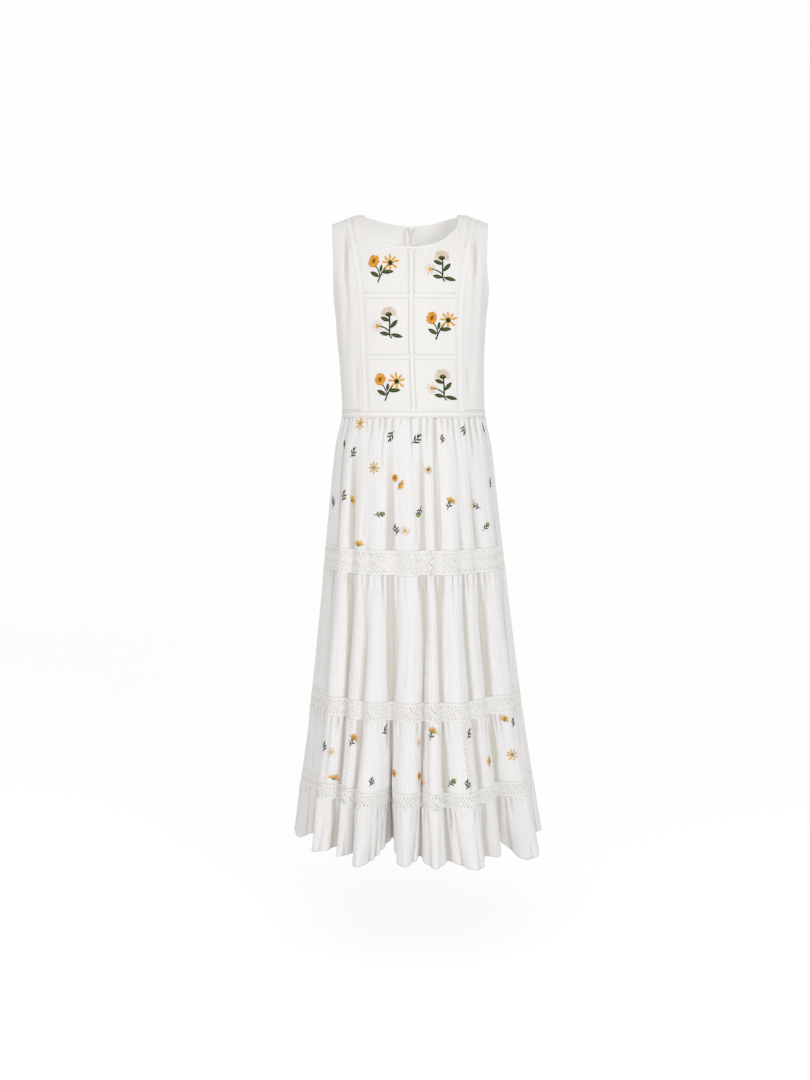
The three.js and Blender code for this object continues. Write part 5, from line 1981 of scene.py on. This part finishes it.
@dataclass
class Embroidery:
    """Flowers worked on the bodice's squares and scattered over the first and third tiers."""

    finishes: Finishes
    form: BodiceForm
    sheets: dict[str, Sheet]
    seed: int = 5
    lift: float = 0.55
    scatter_size: float = 1.2
    square_rise: float = 5.5  # of the squares' motifs above their places
    back_turn: float = 35  # the back's motifs turn this much more than the front's

    def needle(self, shapes: Shapes) -> Needle:
        """A needle for the next piece, with its own random order."""
        self.seed += 1
        return Needle(shapes, np.random.default_rng(self.seed))

    def build(self) -> None:
        """Works every piece of embroidery."""
        shapes = Shapes()
        ground = BodiceGround(self.form, Face.FRONT)
        for side, motifs in SQUARE_MOTIFS.items():
            for row, (motif, x, z) in enumerate(motifs):
                needle = self.needle(shapes)
                motif(needle, Spot(x, z + self.square_rise))
                self.lay(needle, ground, f"square_{row + 1}_{side}_flowers", self.lift + 0.25)
        for tier, scatter in (("tier_1", TIER_1_SCATTER), ("tier_3", TIER_3_SCATTER)):
            self.scatter(shapes, f"{tier}_front", scatter)
            turned = [(motif, -x, z, turn + self.back_turn) for motif, x, z, turn in scatter]
            if f"{tier}_back" in self.sheets:
                self.scatter(shapes, f"{tier}_back", turned)
            else:
                self.scatter(shapes, f"{tier}_back_left", [entry for entry in turned if entry[1] > 0])
                self.scatter(shapes, f"{tier}_back_right", [entry for entry in turned if entry[1] < 0])

    def scatter(self, shapes: Shapes, name: str, motifs: Sequence[tuple[Motif, float, float, float]]) -> None:
        """Works scattered motifs on one piece of a tier."""
        sheet = self.sheets[name]
        needle = self.needle(shapes)
        for motif, x, z, turn in motifs:
            motif(needle, Spot(*sheet.find(x, z), turn, self.scatter_size))
        self.lay(needle, sheet, f"{name}_flowers", self.lift)

    def lay(self, needle: Needle, ground: Ground, name: str, lift: float) -> None:
        """Makes the piece of what a needle has worked."""
        piece = needle.work.laid(ground, name, lift, self.finishes.embroidery)
        finish_piece(piece, "embroidery")


# ---------------------------------------------------------------- the stage


@dataclass
class Stage:
    """A pale floor that curves up behind, soft studio light and the camera. Metres."""

    floor: float = -1.5
    reach: float = 6
    sweep: float = 2.5  # radius of the curve from floor to wall
    camera_at: tuple[float, float, float] = (-0.0126, -3.0, -0.391)
    camera_down: float = 5.5  # degrees below level
    lens: float = 47.6

    def build(self) -> None:
        """Builds all of it."""
        self.build_backdrop()
        self.build_lights()
        self.build_camera()

    def build_backdrop(self) -> None:
        """The floor with its curve up into the wall."""
        bpy.ops.object.select_all(action="DESELECT")
        bpy.ops.mesh.primitive_plane_add(size=2 * self.reach, location=(0, 0, self.floor))
        floor = bpy.context.object
        floor.name = "backdrop"
        bpy.ops.object.mode_set(mode="EDIT")
        bpy.ops.mesh.select_all(action="DESELECT")
        bpy.ops.object.mode_set(mode="OBJECT")
        for edge in floor.data.edges:
            ends = [floor.data.vertices[number].co.y for number in edge.vertices]
            edge.select = min(ends) > 0
        bpy.ops.object.mode_set(mode="EDIT")
        bpy.ops.mesh.extrude_edges_move(TRANSFORM_OT_translate={"value": (0, 0, 2 * self.reach)})
        bpy.ops.mesh.select_all(action="SELECT")
        bpy.ops.object.mode_set(mode="OBJECT")
        bend = floor.modifiers.new("sweep", "BEVEL")
        bend.width, bend.segments = self.sweep, 12
        bpy.ops.object.modifier_apply(modifier="sweep")
        bpy.ops.object.shade_smooth()
        n = Nodes("backdrop_paper")
        n.set(Base_Color=(0.35, 0.35, 0.35, 1), Roughness=0.95, Specular_IOR_Level=0)
        n.set(Emission_Color=(1, 1, 1, 1), Emission_Strength=0.75)
        floor.data.materials.append(n.material)
        floor.visible_diffuse = floor.visible_shadow = False

    def light(self, name: str, at: tuple[float, float, float], size: float, power: float, colour: Colour) -> None:
        """A square soft light that faces the dress."""
        data = bpy.data.lights.new(name, "AREA")
        data.size, data.energy, data.color = size, power, colour
        lamp = bpy.data.objects.new(name, data)
        lamp.location = at
        lamp.rotation_euler = (Vector((0, 0, -0.65)) - Vector(at)).to_track_quat("-Z", "Y").to_euler()
        bpy.context.scene.collection.objects.link(lamp)

    def build_lights(self) -> None:
        """A key light from the front right, a weaker one from the left, and the room's own light."""
        self.light("key_light", (1.5, -3.3, 0.1), 1.1, 40, (0.98, 0.985, 1.0))
        self.light("fill_light", (-2.4, -2.8, -0.2), 2.4, 27, (1.0, 0.985, 0.965))
        inner = bpy.data.lights.new("neck_light", "POINT")
        inner.energy, inner.shadow_soft_size, inner.use_shadow = 0.17, 0.05, False
        lamp = bpy.data.objects.new("neck_light", inner)
        lamp.location = (-0.02, -0.02, -0.16)
        bpy.context.scene.collection.objects.link(lamp)
        world = bpy.data.worlds.new("studio")
        world.use_nodes = True
        world.node_tree.nodes["Background"].inputs[0].default_value = (1.0, 0.98, 0.965, 1)
        world.node_tree.nodes["Background"].inputs[1].default_value = 0.64
        bpy.context.scene.world = world
        bpy.context.scene.view_settings.view_transform = "Standard"

    def build_camera(self) -> None:
        """The camera in front of the dress, a little above its middle."""
        data = bpy.data.cameras.new("camera")
        data.lens, data.sensor_width, data.sensor_fit = self.lens, 36, "AUTO"
        camera = bpy.data.objects.new("camera", data)
        camera.location = self.camera_at
        camera.rotation_euler = (math.radians(90 - self.camera_down), 0, 0)
        bpy.context.scene.collection.objects.link(camera)
        bpy.context.scene.camera = camera


def main() -> None:
    """Builds the dress and its stage, in order."""
    logging.basicConfig(level=logging.INFO, format="%(name)s %(message)s")
    finishes = Finishes()
    Stage().build()
    bodice, skirt = Bodice(finishes), Skirt(finishes)
    bodice.build()
    skirt.build()
    Embroidery(finishes, bodice.form, skirt.sheets).build()
    for name, finish in (("zip_tape", finishes.tape), ("zip_coil", finishes.coil)):
        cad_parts[name].material_slots[0].material = finish
    for name in ("zip_slider", "zip_pull_tab"):
        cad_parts[name].material_slots[0].material = finishes.metal


if __name__ == "__main__":
    main()
